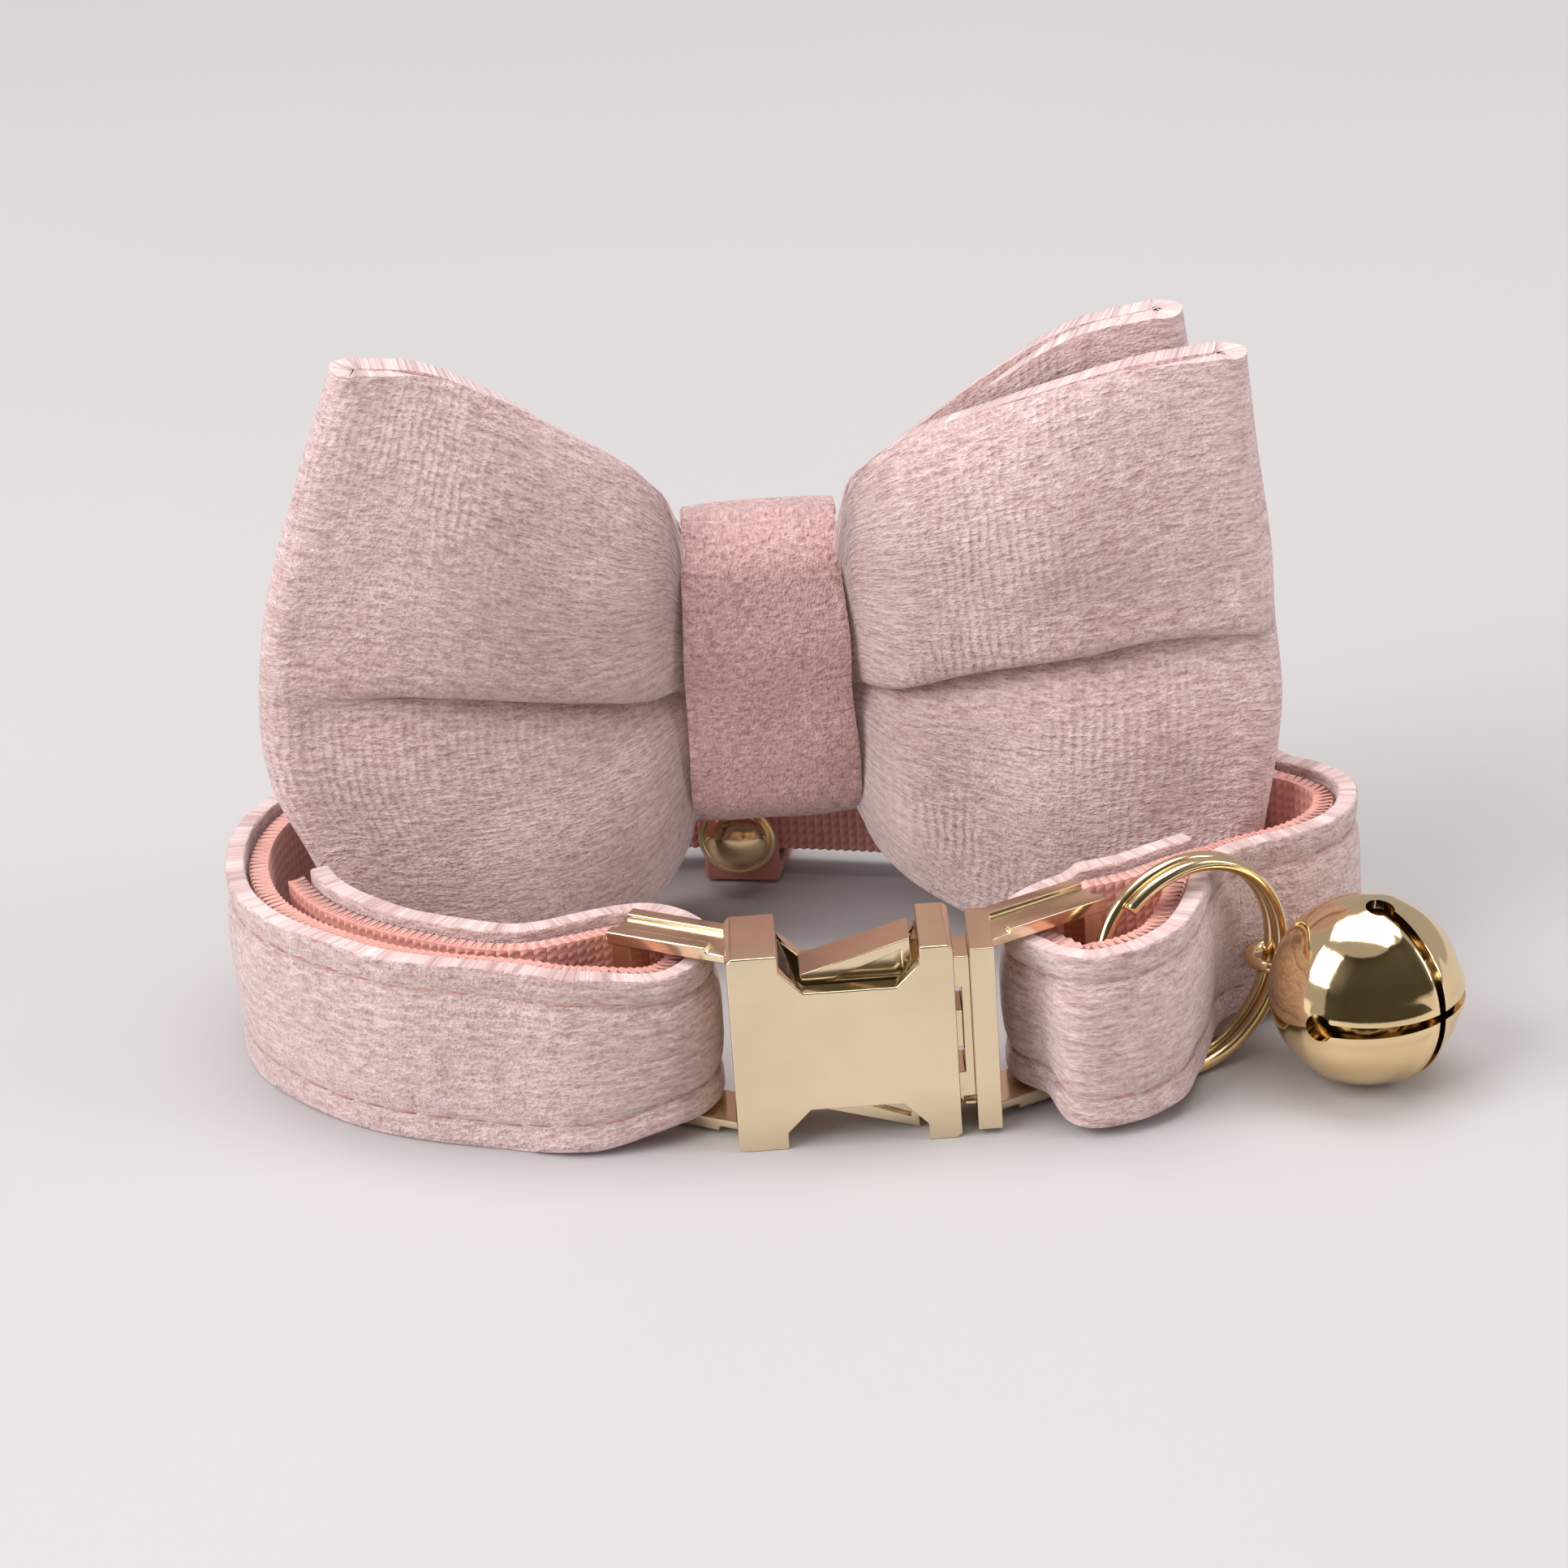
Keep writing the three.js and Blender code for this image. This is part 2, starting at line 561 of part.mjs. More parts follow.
function strapStops() {
  const stop = (point, row) => ({
    place: new THREE.Vector3(point.x, point.y, 0),
    low: row.lift * STRAP_HEIGHT,
    high: (row.lift + row.tall) * STRAP_HEIGHT,
  });
  const fromBar = (frame, far, forward) => frame.at(FRAME_LENGTH - BAR_WIDTH / 2 + far, forward);
  const tail = tailRows.map((row) => stop(
    fromBar(rightFrame, row.far * FRAME_LENGTH, row.forward * FRAME_LENGTH), row));
  const fold = (frame, row) => {
    const { x, y } = fromBar(frame, row.far * strapThick, row.forward * strapThick);
    return {
      place: new THREE.Vector3(x, y, 0),
      low: frame.low + RAIL_THICK + GAP,
      high: frame.top - RAIL_THICK - GAP,
    };
  };
  const rightFold = foldRows.map((row) => fold(rightFrame, row));
  const ring = ringRows.map((row) => stop(
    ringAt(row.along * ringRadius, row.forward * besideRing), row));
  const inLoop = (row) => stop(
    { x: loopLeft + row.x * LOOP_WIDTH, y: row.y * LOOP_DEPTH }, row);
  const leftFold = foldRows.slice().reverse().map((row) => fold(leftFrame, row));
  return [
    ...tail,
    ...rightFold,
    ...ring,
    ...loopRows.map(inLoop),
    ...leftFold,
    ...returnRows.map(inLoop),
  ];
}

// Places along the route, close together where it bends and far apart where it runs straight
function strapStations() {
  const stops = strapStops();
  const route = new THREE.CatmullRomCurve3(stops.map((stop) => stop.place), false, 'centripetal');
  const fine = 1400;
  const turnLimit = degrees(11);
  const longest = 6.5;
  const stations = [];
  let turn = 0;
  let run = 0;
  let before = route.getTangent(0);
  let last = route.getPoint(0);
  for (let k = 0; k <= fine; k += 1) {
    const t = k / fine;
    const point = route.getPoint(t);
    const tangent = route.getTangent(t);
    turn += tangent.angleTo(before);
    run += point.distanceTo(last);
    before = tangent;
    last = point;
    if (k === 0 || k === fine || turn > turnLimit || run > longest) {
      const along = t * (stops.length - 1);
      const from = Math.min(Math.floor(along), stops.length - 2);
      const share = THREE.MathUtils.smoothstep(along - from, 0, 1);
      const outside = new THREE.Vector3(tangent.y, -tangent.x, 0).normalize();
      stations.push({
        point,
        outside,
        low: mix(stops[from].low, stops[from + 1].low, share),
        high: mix(stops[from].high, stops[from + 1].high, share),
      });
      turn = 0;
      run = 0;
    }
  }
  return stations;
}
const stations = strapStations();

// One ply of the strap, off the middle of both plies and inset from the strap's edges
function strapPly(offset, thickness, inset) {
  const columns = 3;
  const round = thickness * 0.225;
  return clothSheet({
    rows: stations.length,
    columns,
    closed: false,
    pointAt: (i, j) => {
      const { point, outside, low, high } = stations[i];
      const height = mix(low + inset + round, high - inset - round, j / (columns - 1));
      const place = point.clone().addScaledVector(outside, offset);
      place.z = height;
      return place;
    },
    thickAt: () => thickness,
  });
}

// Bow. Each lobe's rows run from the knot's middle (0) to the outer fold (1). top and low are
// shares of the bow's height, fore of how far the ends come forward, half of the ply.
const leftLobe = [
  { along: 0, top: 0.602, low: 0.252, fore: 0, half: 0.39, crease: 0.3 },
  { along: SQUEEZED, top: 0.603, low: 0.252, fore: 0.02, half: 0.39, crease: 0.3 },
  { along: 0.25, top: 0.745, low: 0.163, fore: 0.08, half: 0.62, crease: 0.7 },
  { along: 0.34, top: 0.787, low: 0.108, fore: 0.17, half: 0.78, crease: 1 },
  { along: 0.48, top: 0.848, low: 0.062, fore: 0.34, half: 0.88, crease: 1 },
  { along: 0.64, top: 0.918, low: 0.03, fore: 0.52, half: 0.88, crease: 0.75 },
  { along: 0.82, top: 0.977, low: 0.014, fore: 0.66, half: 0.78, crease: 0.35 },
  { along: 1, top: 0.998, low: 0.018, fore: 0.74, half: 0.65, crease: 0 },
];
const rightLobe = [
  { along: 0, top: 0.602, low: 0.252, fore: 0, half: 0.39, crease: 0.3 },
  { along: SQUEEZED, top: 0.603, low: 0.252, fore: 0.02, half: 0.39, crease: 0.3 },
  { along: 0.25, top: 0.752, low: 0.15, fore: 0.13, half: 0.6, crease: 0.7 },
  { along: 0.34, top: 0.795, low: 0.102, fore: 0.26, half: 0.78, crease: 1 },
  { along: 0.5, top: 0.843, low: 0.056, fore: 0.45, half: 0.88, crease: 1 },
  { along: 0.66, top: 0.889, low: 0.028, fore: 0.66, half: 0.88, crease: 1 },
  { along: 0.84, top: 0.93, low: 0.018, fore: 0.84, half: 0.78, crease: 0.9 },
  { along: 1, top: 0.95, low: 0.024, fore: 0.95, half: 0.65, crease: 0.5 },
];
// The outer folds seen from the front: reach at each height as shares of the bow's reach
const leftEdge = [
  { up: 0, reach: 0.79 },
  { up: 0.13, reach: 0.87 },
  { up: 0.27, reach: 0.945 },
  { up: 0.36, reach: 0.992 },
  { up: 0.48, reach: 1 },
  { up: 0.64, reach: 0.964 },
  { up: 0.82, reach: 0.883 },
  { up: 1, reach: 0.79 },
];
const rightEdge = [
  { up: 0, reach: 0.91 },
  { up: 0.2, reach: 0.955 },
  { up: 0.45, reach: 1 },
  { up: 0.65, reach: 0.988 },
  { up: 0.85, reach: 0.96 },
  { up: 1, reach: 0.943 },
];

// The knot stands just inside the far side of the loop
const KNOT_FRONT = LOOP_DEPTH * KNOT_FRONT_SHARE;

// Where the knot stops squeezing the sleeves
const knotEdge = KNOT_WIDTH / 2 + KNOT_CLEAR;

const knotMiddle = KNOT_LOW + KNOT_HEIGHT / 2;

// Where the two sleeves lie between the knot's walls
const knotInner = KNOT_FRONT + KNOT_WALL + GAP;
const sleeveAtKnot = 2 * BOW_PLY_AT_KNOT + GAP;
const frontSleeve = {
  centre: knotInner + sleeveAtKnot / 2,
  turn: 0,
  reach: 1,
  depth: 1,
  behind: 0,
  fore: 1,
  raise: 0,
  sink: 0,
};
const backSleeve = {
  centre: frontSleeve.centre + sleeveAtKnot + GAP,
  turn: BACK_TURN,
  reach: 0.925,
  depth: 0.1,
  behind: BACK_BEHIND,
  fore: 1.04,
  raise: 0.04,
  sink: 0.05,
};

// Stations round one sleeve, seen from above: out along the front, round the fold, and back
function sleeveStations() {
  const panel = [0, 0.1, SQUEEZED, 0.24, 0.31, 0.42, 0.55, 0.69, 0.84, 1];
  const bends = [-45, 0, 45];
  const lobe = (side) => [
    ...panel.map((along) => ({ side, along, face: -1, bend: -90 })),
    ...bends.map((bend) => ({ side, along: 1, face: 0, bend })),
    ...panel.slice().reverse().map((along) => ({ side, along, face: 1, bend: 90 })),
  ];
  const right = lobe(1);
  const left = lobe(-1).reverse();
  return [...right, ...left.slice(1, -1)];
}

// How far a change that starts at the knot has gone, when it is whole at the place "by"
const since = (along, by) => THREE.MathUtils.smoothstep(along, SQUEEZED, by);
const plyAt = (along) => mix(BOW_PLY_AT_KNOT, BOW_PLY, since(along, PLY_FULL_BY));

function bowSleeve(sleeve) {
  const around = sleeveStations();
  const heights = [-1, -0.78, -0.4, -0.1, CREASE_AT, 0.14, 0.38, 0.74, 1];
  const pointAt = (i, j) => {
    const { side, along, face, bend } = around[i];
    const lobe = side > 0 ? rightLobe : leftLobe;
    const edge = side > 0 ? rightEdge : leftEdge;
    const row = (column) => read(lobe, 'along', column, along);
    const v = heights[j];
    const ply = plyAt(along);
    // The cloth's half distance from the sleeve's middle: its back is flat, its front is puffed
    const mouth = (ply + mix(GAP, BOW_MOUTH_GAP, since(along, PLY_FULL_BY))) / 2;
    const open = Math.max(mouth, mix(mouth, row('half') * BOW_PLY, sleeve.depth));
    const full = along > SQUEEZED ? open : mouth;
    const half = face === -1 ? mix(mouth, full, Math.sqrt(1 - v * v)) : mouth;
    // The puffed halves above and below the crease
    const above = v > CREASE_AT;
    const fromCrease = Math.abs(v - CREASE_AT) / (above ? 1 - CREASE_AT : 1 + CREASE_AT);
    const puff = fromCrease ** 0.45 * (1 - fromCrease ** 3) * (above ? PUFF_ABOVE : PUFF_BELOW);
    const spread = since(along, SPREAD_BY);
    const bulge = BOW_PUFF * sleeve.depth * spread * puff * (1 - along ** 6);
    const room = Math.max(0, half + mouth - ply - GAP);
    const dent = room * row('crease') * spread * Math.exp(-((fromCrease / CREASE_WIDTH) ** 2));
    const front = face === -1 ? bulge - dent : 0;
    // Out from the knot, and up from its middle
    const fold = read(edge, 'up', 'reach', (v + 1) / 2) * BOW_REACH * sleeve.reach;
    const straight = fold - ply / 2 - half;
    const inKnot = Math.min(1, along / SQUEEZED);
    const outside = Math.max(0, along - SQUEEZED) / (1 - SQUEEZED);
    const angle = degrees(bend);
    const out = mix(knotEdge * inKnot, straight, outside) + (face === 0 ? half * Math.cos(angle) : 0);
    const depth = face === 0 ? half * Math.sin(angle) : face * half;
    const lift = sleeve.raise * spread;
    const sink = sleeve.sink * since(along, PARTED_BY) * (1 - since(along, RISEN_BY));
    const up = mix(row('low') + lift, row('top') - sink, (v + 1) / 2) * BOW_HEIGHT - knotMiddle;
    const middle = sleeve.centre + sleeve.behind * since(along, PARTED_BY)
      - row('fore') * BOW_FORWARD * sleeve.fore;
    const sway = degrees(sleeve.turn) * since(along, PARTED_BY);
    const x = side * out;
    return new THREE.Vector3(
      BOW_CENTRE_X + x * Math.cos(sway) - up * Math.sin(sway),
      middle + depth - front,
      knotMiddle + x * Math.sin(sway) + up * Math.cos(sway),
    );
  };
  return clothSheet({
    rows: around.length,
    columns: heights.length,
    closed: true,
    pointAt,
    thickAt: (i) => plyAt(around[i].along),
  });
}

// The knot wrap: a short upright sleeve with round corners, a little wider at its foot
function knotWrap() {
  const deep = KNOT_WALL * 2 + GAP * 2 + sleeveAtKnot * 2 + GAP;
  const halfDeep = (deep - KNOT_WALL) / 2;
  const halfTall = (KNOT_HEIGHT - KNOT_WALL) / 2;
  const corner = KNOT_CORNER - KNOT_WALL / 2;
  const around = [];
  const turns = 4;
  const corners = [
    [1, -1, -90],
    [1, 1, 0],
    [-1, 1, 90],
    [-1, -1, 180],
  ];
  for (const [deepSide, tallSide, start] of corners) {
    for (let k = 0; k <= turns; k += 1) {
      const angle = degrees(start + (90 * k) / turns);
      around.push([
        deepSide * (halfDeep - corner) + corner * Math.cos(angle),
        tallSide * (halfTall - corner) + corner * Math.sin(angle),
      ]);
    }
  }
  const columns = 5;
  return clothSheet({
    rows: around.length,
    columns,
    closed: true,
    pointAt: (i, j) => {
      const [deepAt, tallAt] = around[i];
      const foot = 0.5 - tallAt / (2 * halfTall);
      const half = (KNOT_WIDTH / 2 - KNOT_WALL * 0.25) * mix(0.97, 1.05, foot);
      const across = mix(-half, half, j / (columns - 1));
      const crown = 0.35 * (1 - (across / half) ** 2);
      const swell = deepAt < 0 ? -crown : 0;
      return new THREE.Vector3(
        BOW_CENTRE_X + across,
        KNOT_FRONT + deep / 2 + deepAt + swell,
        knotMiddle + tallAt,
      );
    },
    thickAt: () => KNOT_WALL,
  });
}

// Where the keeper crosses the far side of the strap: the station nearest to the bow's middle
const keeperX = BOW_CENTRE_X - KEEPER_ASIDE;
const farStations = stations.filter(({ outside, point }) => outside.y > 0.5 && point.y > LOOP_DEPTH / 2);
function farStrapAt(x) {
  const k = farStations.findIndex(({ point }, i) => i > 0 && point.x < x);
  const [a, b] = [farStations[k - 1], farStations[k]];
  const share = (x - a.point.x) / (b.point.x - a.point.x);
  return {
    y: mix(a.point.y, b.point.y, share),
    slope: Math.atan2(a.point.y - b.point.y, a.point.x - b.point.x),
    low: mix(a.low, b.low, share),
    high: mix(a.high, b.high, share),
  };
}
const held = farStrapAt(keeperX);
const keeperFront = -(strapThick / 2 + 2 * GAP + KEEPER_THICK);

// The keeper in its own plane: depth from the strap's middle, and height
function keeperLoop() {
  const inner = strapThick / 2 + 2 * GAP;
  const outer = inner + KEEPER_THICK;
  const low = held.low - GAP - KEEPER_THICK;
  const top = held.high + GAP + KEEPER_THICK;
  const outline = new THREE.Shape();
  outline.moveTo(-outer, low);
  outline.lineTo(outer, low);
  outline.lineTo(outer, top);
  outline.lineTo(-inner, top);
  outline.lineTo(-inner - KEEPER_LEAN, KEEPER_TAIL_TOP);
  outline.lineTo(-outer - KEEPER_LEAN, KEEPER_TAIL_TOP);
  outline.closePath();
  const hole = new THREE.Path();
  hole.moveTo(-inner, low + KEEPER_THICK);
  hole.lineTo(-inner, top - KEEPER_THICK);
  hole.lineTo(inner, top - KEEPER_THICK);
  hole.lineTo(inner, low + KEEPER_THICK);
  hole.closePath();
  outline.holes.push(hole);
  const drawn = new THREE.ExtrudeGeometry(outline, { depth: KEEPER_WIDTH, bevelEnabled: false });
  drawn.translate(0, 0, -KEEPER_WIDTH / 2);
  drawn.rotateY(Math.PI / 2);
  drawn.rotateX(Math.PI / 2);
  return drawn;
}

// The snap's cap: a low dome on a flange, its axis along -Y
function snapCap() {
  const flange = SNAP_DIAMETER / 2;
  const rim = SNAP_RIM;
  const points = [new THREE.Vector2(0, 0), new THREE.Vector2(flange, 0), new THREE.Vector2(flange, rim)];
  const dome = flange * SNAP_DOME_SHARE;
  for (let k = 0; k <= 5; k += 1) {
    const angle = (Math.PI / 2) * (k / 5);
    points.push(new THREE.Vector2(dome * Math.cos(angle), rim + (SNAP_HEIGHT - rim) * Math.sin(angle)));
  }
  points[points.length - 1].x = 0;
  const cap = new THREE.LatheGeometry(points, 18);
  cap.rotateX(Math.PI);
  return cap;
}

// The collar
const collar = new THREE.Group();
function add(name, geometry, material) {
  const mesh = new THREE.Mesh(geometry, material);
  mesh.name = name;
  collar.add(mesh);
  return mesh;
}

const plyShift = (strapThick - VELVET_THICK) / 2;
const webShift = (strapThick - WEBBING_THICK) / 2;
add('strap_velvet', strapPly(plyShift, VELVET_THICK, 0), velvet);
add('strap_webbing', strapPly(-webShift, WEBBING_THICK, WEBBING_INSET), webbing);
add('buckle_body', geometryOf(buckleBody()), gold);
add('buckle_plug', geometryOf(bucklePlug()), gold);

const ring = add('split_ring', splitRing(), gold);
ring.rotation.set(Math.PI / 2, 0, 0);
const ringGroup = new THREE.Group();
collar.add(ringGroup);
ringGroup.add(ring);
ringGroup.position.set(ringCentre.x, ringCentre.y, ringHeight);
ringGroup.rotation.z = degrees(RING_ANGLE);

const bell = add('bell', geometryOf(jingleBell()), gold);
const ringEnd = ringAt(ringRadius, 0);
bell.rotation.z = degrees(BELL_ANGLE);
bell.position.set(
  ringEnd.x + shankReach * Math.cos(degrees(BELL_ANGLE)),
  ringEnd.y + shankReach * Math.sin(degrees(BELL_ANGLE)),
  BELL_DIAMETER / 2,
);

add('bow_front_sleeve', bowSleeve(frontSleeve), velvet);
add('bow_back_sleeve', bowSleeve(backSleeve), velvet);
add('knot_wrap', knotWrap(), velvet);

const keeper = add('bow_keeper', keeperLoop(), webbing);
keeper.position.set(keeperX, held.y, 0);
keeper.rotation.z = held.slope;
const snap = add('snap_cap', snapCap(), gold);
const snapPlace = new THREE.Vector3(0, keeperFront - GAP * 1.3, SNAP_LOW + SNAP_DIAMETER / 2);
snapPlace.applyAxisAngle(new THREE.Vector3(0, 0, 1), held.slope);
snap.position.set(keeperX + snapPlace.x, held.y + snapPlace.y, snapPlace.z);
snap.rotation.z = held.slope;

// Origin at the bottom centre of the whole collar
const bounds = new THREE.Box3().setFromObject(collar, true);
const centre = bounds.getCenter(new THREE.Vector3());
collar.position.set(-centre.x, -centre.y, -bounds.min.z);
collar.updateMatrixWorld(true);

export default collar;
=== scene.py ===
# %% [markdown]
# # A pet's bow tie collar
# The collar is a loop of velvet on ribbed webbing, closed by a small curved metal buckle.
# A split ring carries a jingle bell, and a velvet bow sits behind on a webbing keeper.
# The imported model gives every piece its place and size. Here each piece gets its finish.

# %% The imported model
import math

import bmesh
import bpy
from mathutils import Matrix, Vector, noise


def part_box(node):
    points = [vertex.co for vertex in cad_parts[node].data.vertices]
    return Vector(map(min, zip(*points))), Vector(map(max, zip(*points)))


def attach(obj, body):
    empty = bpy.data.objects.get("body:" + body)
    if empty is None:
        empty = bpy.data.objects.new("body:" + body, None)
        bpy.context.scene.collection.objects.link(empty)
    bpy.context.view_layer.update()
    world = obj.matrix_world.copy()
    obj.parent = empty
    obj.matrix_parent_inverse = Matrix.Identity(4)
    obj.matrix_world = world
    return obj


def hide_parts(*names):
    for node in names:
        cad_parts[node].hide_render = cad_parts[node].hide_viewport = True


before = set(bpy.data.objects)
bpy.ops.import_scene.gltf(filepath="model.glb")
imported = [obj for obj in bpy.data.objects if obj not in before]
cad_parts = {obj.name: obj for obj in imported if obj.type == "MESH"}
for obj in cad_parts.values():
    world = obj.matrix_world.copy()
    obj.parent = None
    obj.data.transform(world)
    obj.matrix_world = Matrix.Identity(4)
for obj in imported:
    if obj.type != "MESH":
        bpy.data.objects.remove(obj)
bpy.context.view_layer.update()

print("nodes", sorted(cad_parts))

# %% [markdown]
# Lengths below are millimetres, measured from the middle of the buckle's front plate on the
# floor. The buckle body's own box says where that point is in the model's frame.

# %% Millimetres from the buckle
MM = 0.001
BUCKLE_RIGHT = 7.6
body_low, body_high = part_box("buckle_body")
shift = Vector((body_high.x / MM - BUCKLE_RIGHT, body_low.y / MM, 0.0))


def placed(point):
    """A point in millimetres from the buckle, as metres in the model's frame."""
    return (Vector(point) + shift) * MM


def mix(a, b, share):
    """The value a share of the way from a to b."""
    return a + (b - a) * share


def smooth(value, start, end):
    """0 before start, 1 after end, with a soft change between them."""
    t = min(1.0, max(0.0, (value - start) / (end - start)))
    return t * t * (3 - 2 * t)


def hill(distance, wide):
    """1 in the middle, falling away to nothing on both sides."""
    return math.exp(-((distance / wide) ** 2))


def read(table, at):
    """A smooth curve through rows of (key, value)."""
    if at <= table[0][0]:
        return table[0][1]
    if at >= table[-1][0]:
        return table[-1][1]
    row = next(k for k, entry in enumerate(table) if entry[0] > at) - 1

    def slope(k):
        before, after = table[max(k - 1, 0)], table[min(k + 1, len(table) - 1)]
        return (after[1] - before[1]) / (after[0] - before[0])

    (key0, value0), (key1, value1) = table[row], table[row + 1]
    span = key1 - key0
    t = (at - key0) / span
    rise = 3 * t**2 - 2 * t**3
    start = (t**3 - 2 * t**2 + t) * span * slope(row)
    end = (t**3 - t**2) * span * slope(row + 1)
    return mix(value0, value1, rise) + start + end


# %% [markdown]
# Shader maths reads best as plain Python. A Wire holds one output of a node, and the usual
# signs on it add Math nodes. A Finish is a material, and its add method makes any other node.
# A number that never changes is set on the shader's own socket.

# %% Wires and finishes
class Wire:
    """One output of a node, which Python's own signs can add, scale and compare."""

    def __init__(self, finish, socket):
        self.finish = finish
        self.socket = socket

    def maths(self, operation, *others):
        inputs = dict(enumerate((self, *others)))
        return self.finish.add("Math", {"operation": operation}, inputs)

    def __add__(self, other):
        return self.maths("ADD", other)

    def __mul__(self, other):
        return self.maths("MULTIPLY", other)

    def __sub__(self, other):
        return self.maths("SUBTRACT", other)

    def __rsub__(self, other):
        return self.maths("MULTIPLY", -1.0) + other

    def __pow__(self, other):
        return self.maths("POWER", other)

    __radd__ = __add__
    __rmul__ = __mul__


class Finish:
    """A material with one Principled shader, whose unchanging numbers are given here."""

    def __init__(self, name, **numbers):
        self.material = bpy.data.materials.new(name)
        self.material.use_nodes = True
        self.tree = self.material.node_tree
        self.tree.nodes.clear()
        named = {key.replace("_", " "): value for key, value in numbers.items()}
        surface = self.add("BsdfPrincipled", {}, named)
        self.shader = surface.socket.node
        self.add("OutputMaterial", {}, {"Surface": surface}, None)

    def add(self, kind, settings, inputs, output=0):
        node = self.tree.nodes.new("ShaderNode" + kind)
        for key, value in settings.items():
            setattr(node, key, value)
        for key, value in inputs.items():
            self.feed(node.inputs[key], value)
        return None if output is None else Wire(self, node.outputs[output])

    def feed(self, socket, value):
        if isinstance(value, Wire):
            self.tree.links.new(value.socket, socket)
        else:
            socket.default_value = value

    def wear(self, **wires):
        for key, value in wires.items():
            self.feed(self.shader.inputs[key.replace("_", " ")], value)

    def flat(self, across=1.0, up=1.0):
        """The cloth's own flat place in millimetres, stretched by two numbers."""
        place = self.add("UVMap", {"uv_map": "cloth"}, {})
        inputs = {0: place, 1: (across, up, 1.0)}
        return self.add("VectorMath", {"operation": "MULTIPLY"}, inputs)

    def solid(self, scale):
        """The place in the object, times a number."""
        place = self.add("TexCoord", {}, {}, 3)
        return self.add("VectorMath", {"operation": "SCALE"}, {0: place, 3: scale})

    def specks(self, place, scale, detail=2.0, rough=0.5):
        inputs = {"Vector": place, "Scale": scale, "Detail": detail, "Roughness": rough}
        return self.add("TexNoise", {}, inputs)

    def bands(self, place, period, sway=0.0, side="X"):
        settings = {"wave_type": "BANDS", "bands_direction": side}
        inputs = {"Vector": place, "Scale": math.tau / (20 * period), "Distortion": sway}
        return self.add("TexWave", settings, {**inputs, "Detail": 1.0}, 1)

    def between(self, value, low, high):
        """Stretches low..high to 0..1 and holds it there."""
        inputs = {"Value": value, "From Min": low, "From Max": high}
        return self.add("MapRange", {"clamp": True}, inputs)

    def colour(self, share, first, second):
        inputs = {0: share, 6: first, 7: second}
        return self.add("Mix", {"data_type": "RGBA"}, inputs, 2)

    def relief(self, height, depth):
        """A Bump whose full height is this many millimetres."""
        inputs = {"Height": height, "Distance": depth * MM, "Strength": 1.0}
        return self.add("Bump", {}, inputs)


# %% [markdown]
# Velvet is a short pile. Seen straight on it is deep and dull, and at a grazing angle the
# fibres' sides catch the light, which the sheen gives. Where the nap lies another way it
# looks paler, so the colour follows soft patches, short streaks and the fine wales below.

# %% Velvet
# Specks a millimetre of the nap's patches, the fleece's streaks and the grain, and the wales
NAP, FLEECE, GRAIN, PATCH = 0.11, 1.1, 3.6, 0.09
WALE, VELVET_RELIEF = 0.62, 0.6


def velvet(name, wales, shade=1.0, warm_shade=1.0, lay=(0.75, 2.3)):
    finish = Finish(
        name,
        Sheen_Weight=0.8,
        Sheen_Roughness=0.38,
        Sheen_Tint=(1.0, 0.94, 0.93, 1.0),
        Specular_IOR_Level=0.18,
    )
    nap = finish.specks(finish.flat(), NAP)
    fleece = finish.specks(finish.flat(*lay), FLEECE, 4.0, 0.62)
    grain = finish.specks(finish.flat(1.0, 1.3), GRAIN, 2.0, 0.6)
    ribs = finish.bands(finish.flat(), WALE, 3.2)
    here = finish.between(finish.specks(finish.flat(), PATCH), 0.42, 0.62) * wales
    height = fleece * 0.62 + grain * 0.38 + ribs * here
    tone = nap * 0.16 + fleece * 0.55 + grain * 0.34 + ribs * here * 0.2
    share = finish.between(tone, 0.40, 0.66)
    # shade darkens this copy of the velvet, and the factor after it lowers green and blue. On
    # the knot both are painted shade: its shaded middle, warmed by light bounced between
    # velvet.
    deep = (0.470 * shade, 0.290 * shade * warm_shade, 0.278 * shade * warm_shade, 1.0)
    pale = (0.930 * shade, 0.730 * shade * warm_shade, 0.710 * shade * warm_shade, 1.0)
    finish.wear(Base_Color=finish.colour(share, deep, pale), Roughness=0.86 + grain * 0.12)
    finish.wear(Normal=finish.relief(height, VELVET_RELIEF))
    return finish.material


bow_velvet = velvet("bow velvet", 0.16)
# The knot's copy is darker and redder than the bow's: painted shade.
shaded_knot_velvet = velvet("knot velvet", 0.0, 0.97, 0.86, (2.4, 1.3))
strap_pile = velvet("strap velvet", 0.03, 0.97)

# %% [markdown]
# The webbing is ribbed nylon: thick cross threads with a finer thread woven over them. The
# ribs are in the mesh, and the finish adds the small slanted threads and painted shade: the
# colour is darker where the height is lower, in the grooves.
# The sewing thread is a duller yarn, coloured dark like the velvet's shade along the seam:
# real stitches with painted shade.

# %% Webbing and thread
RIB = 0.6


def ribbed(name):
    finish = Finish(name, Sheen_Weight=0.25, Sheen_Roughness=0.5, Specular_IOR_Level=0.3)
    rib = finish.bands(finish.flat(), RIB)
    twist = finish.bands(finish.flat(1.0, 0.8), RIB / 2, 1.6, "DIAGONAL")
    fuzz = finish.specks(finish.flat(1.0, 0.5), 4.0, 3.0, 0.6)
    height = rib * 0.5 + twist * 0.22 + fuzz * 0.35
    # Painted shade: darker where the ribs dip, in the grooves, with random tone from the fuzz.
    share = finish.between(height, 0.25, 0.82)
    deep = (0.60, 0.250, 0.205, 1.0)
    pale = (0.90, 0.520, 0.450, 1.0)
    finish.wear(Base_Color=finish.colour(share, deep, pale), Roughness=0.62 + fuzz * 0.25)
    finish.wear(Normal=finish.relief(height, 0.25))
    return finish.material


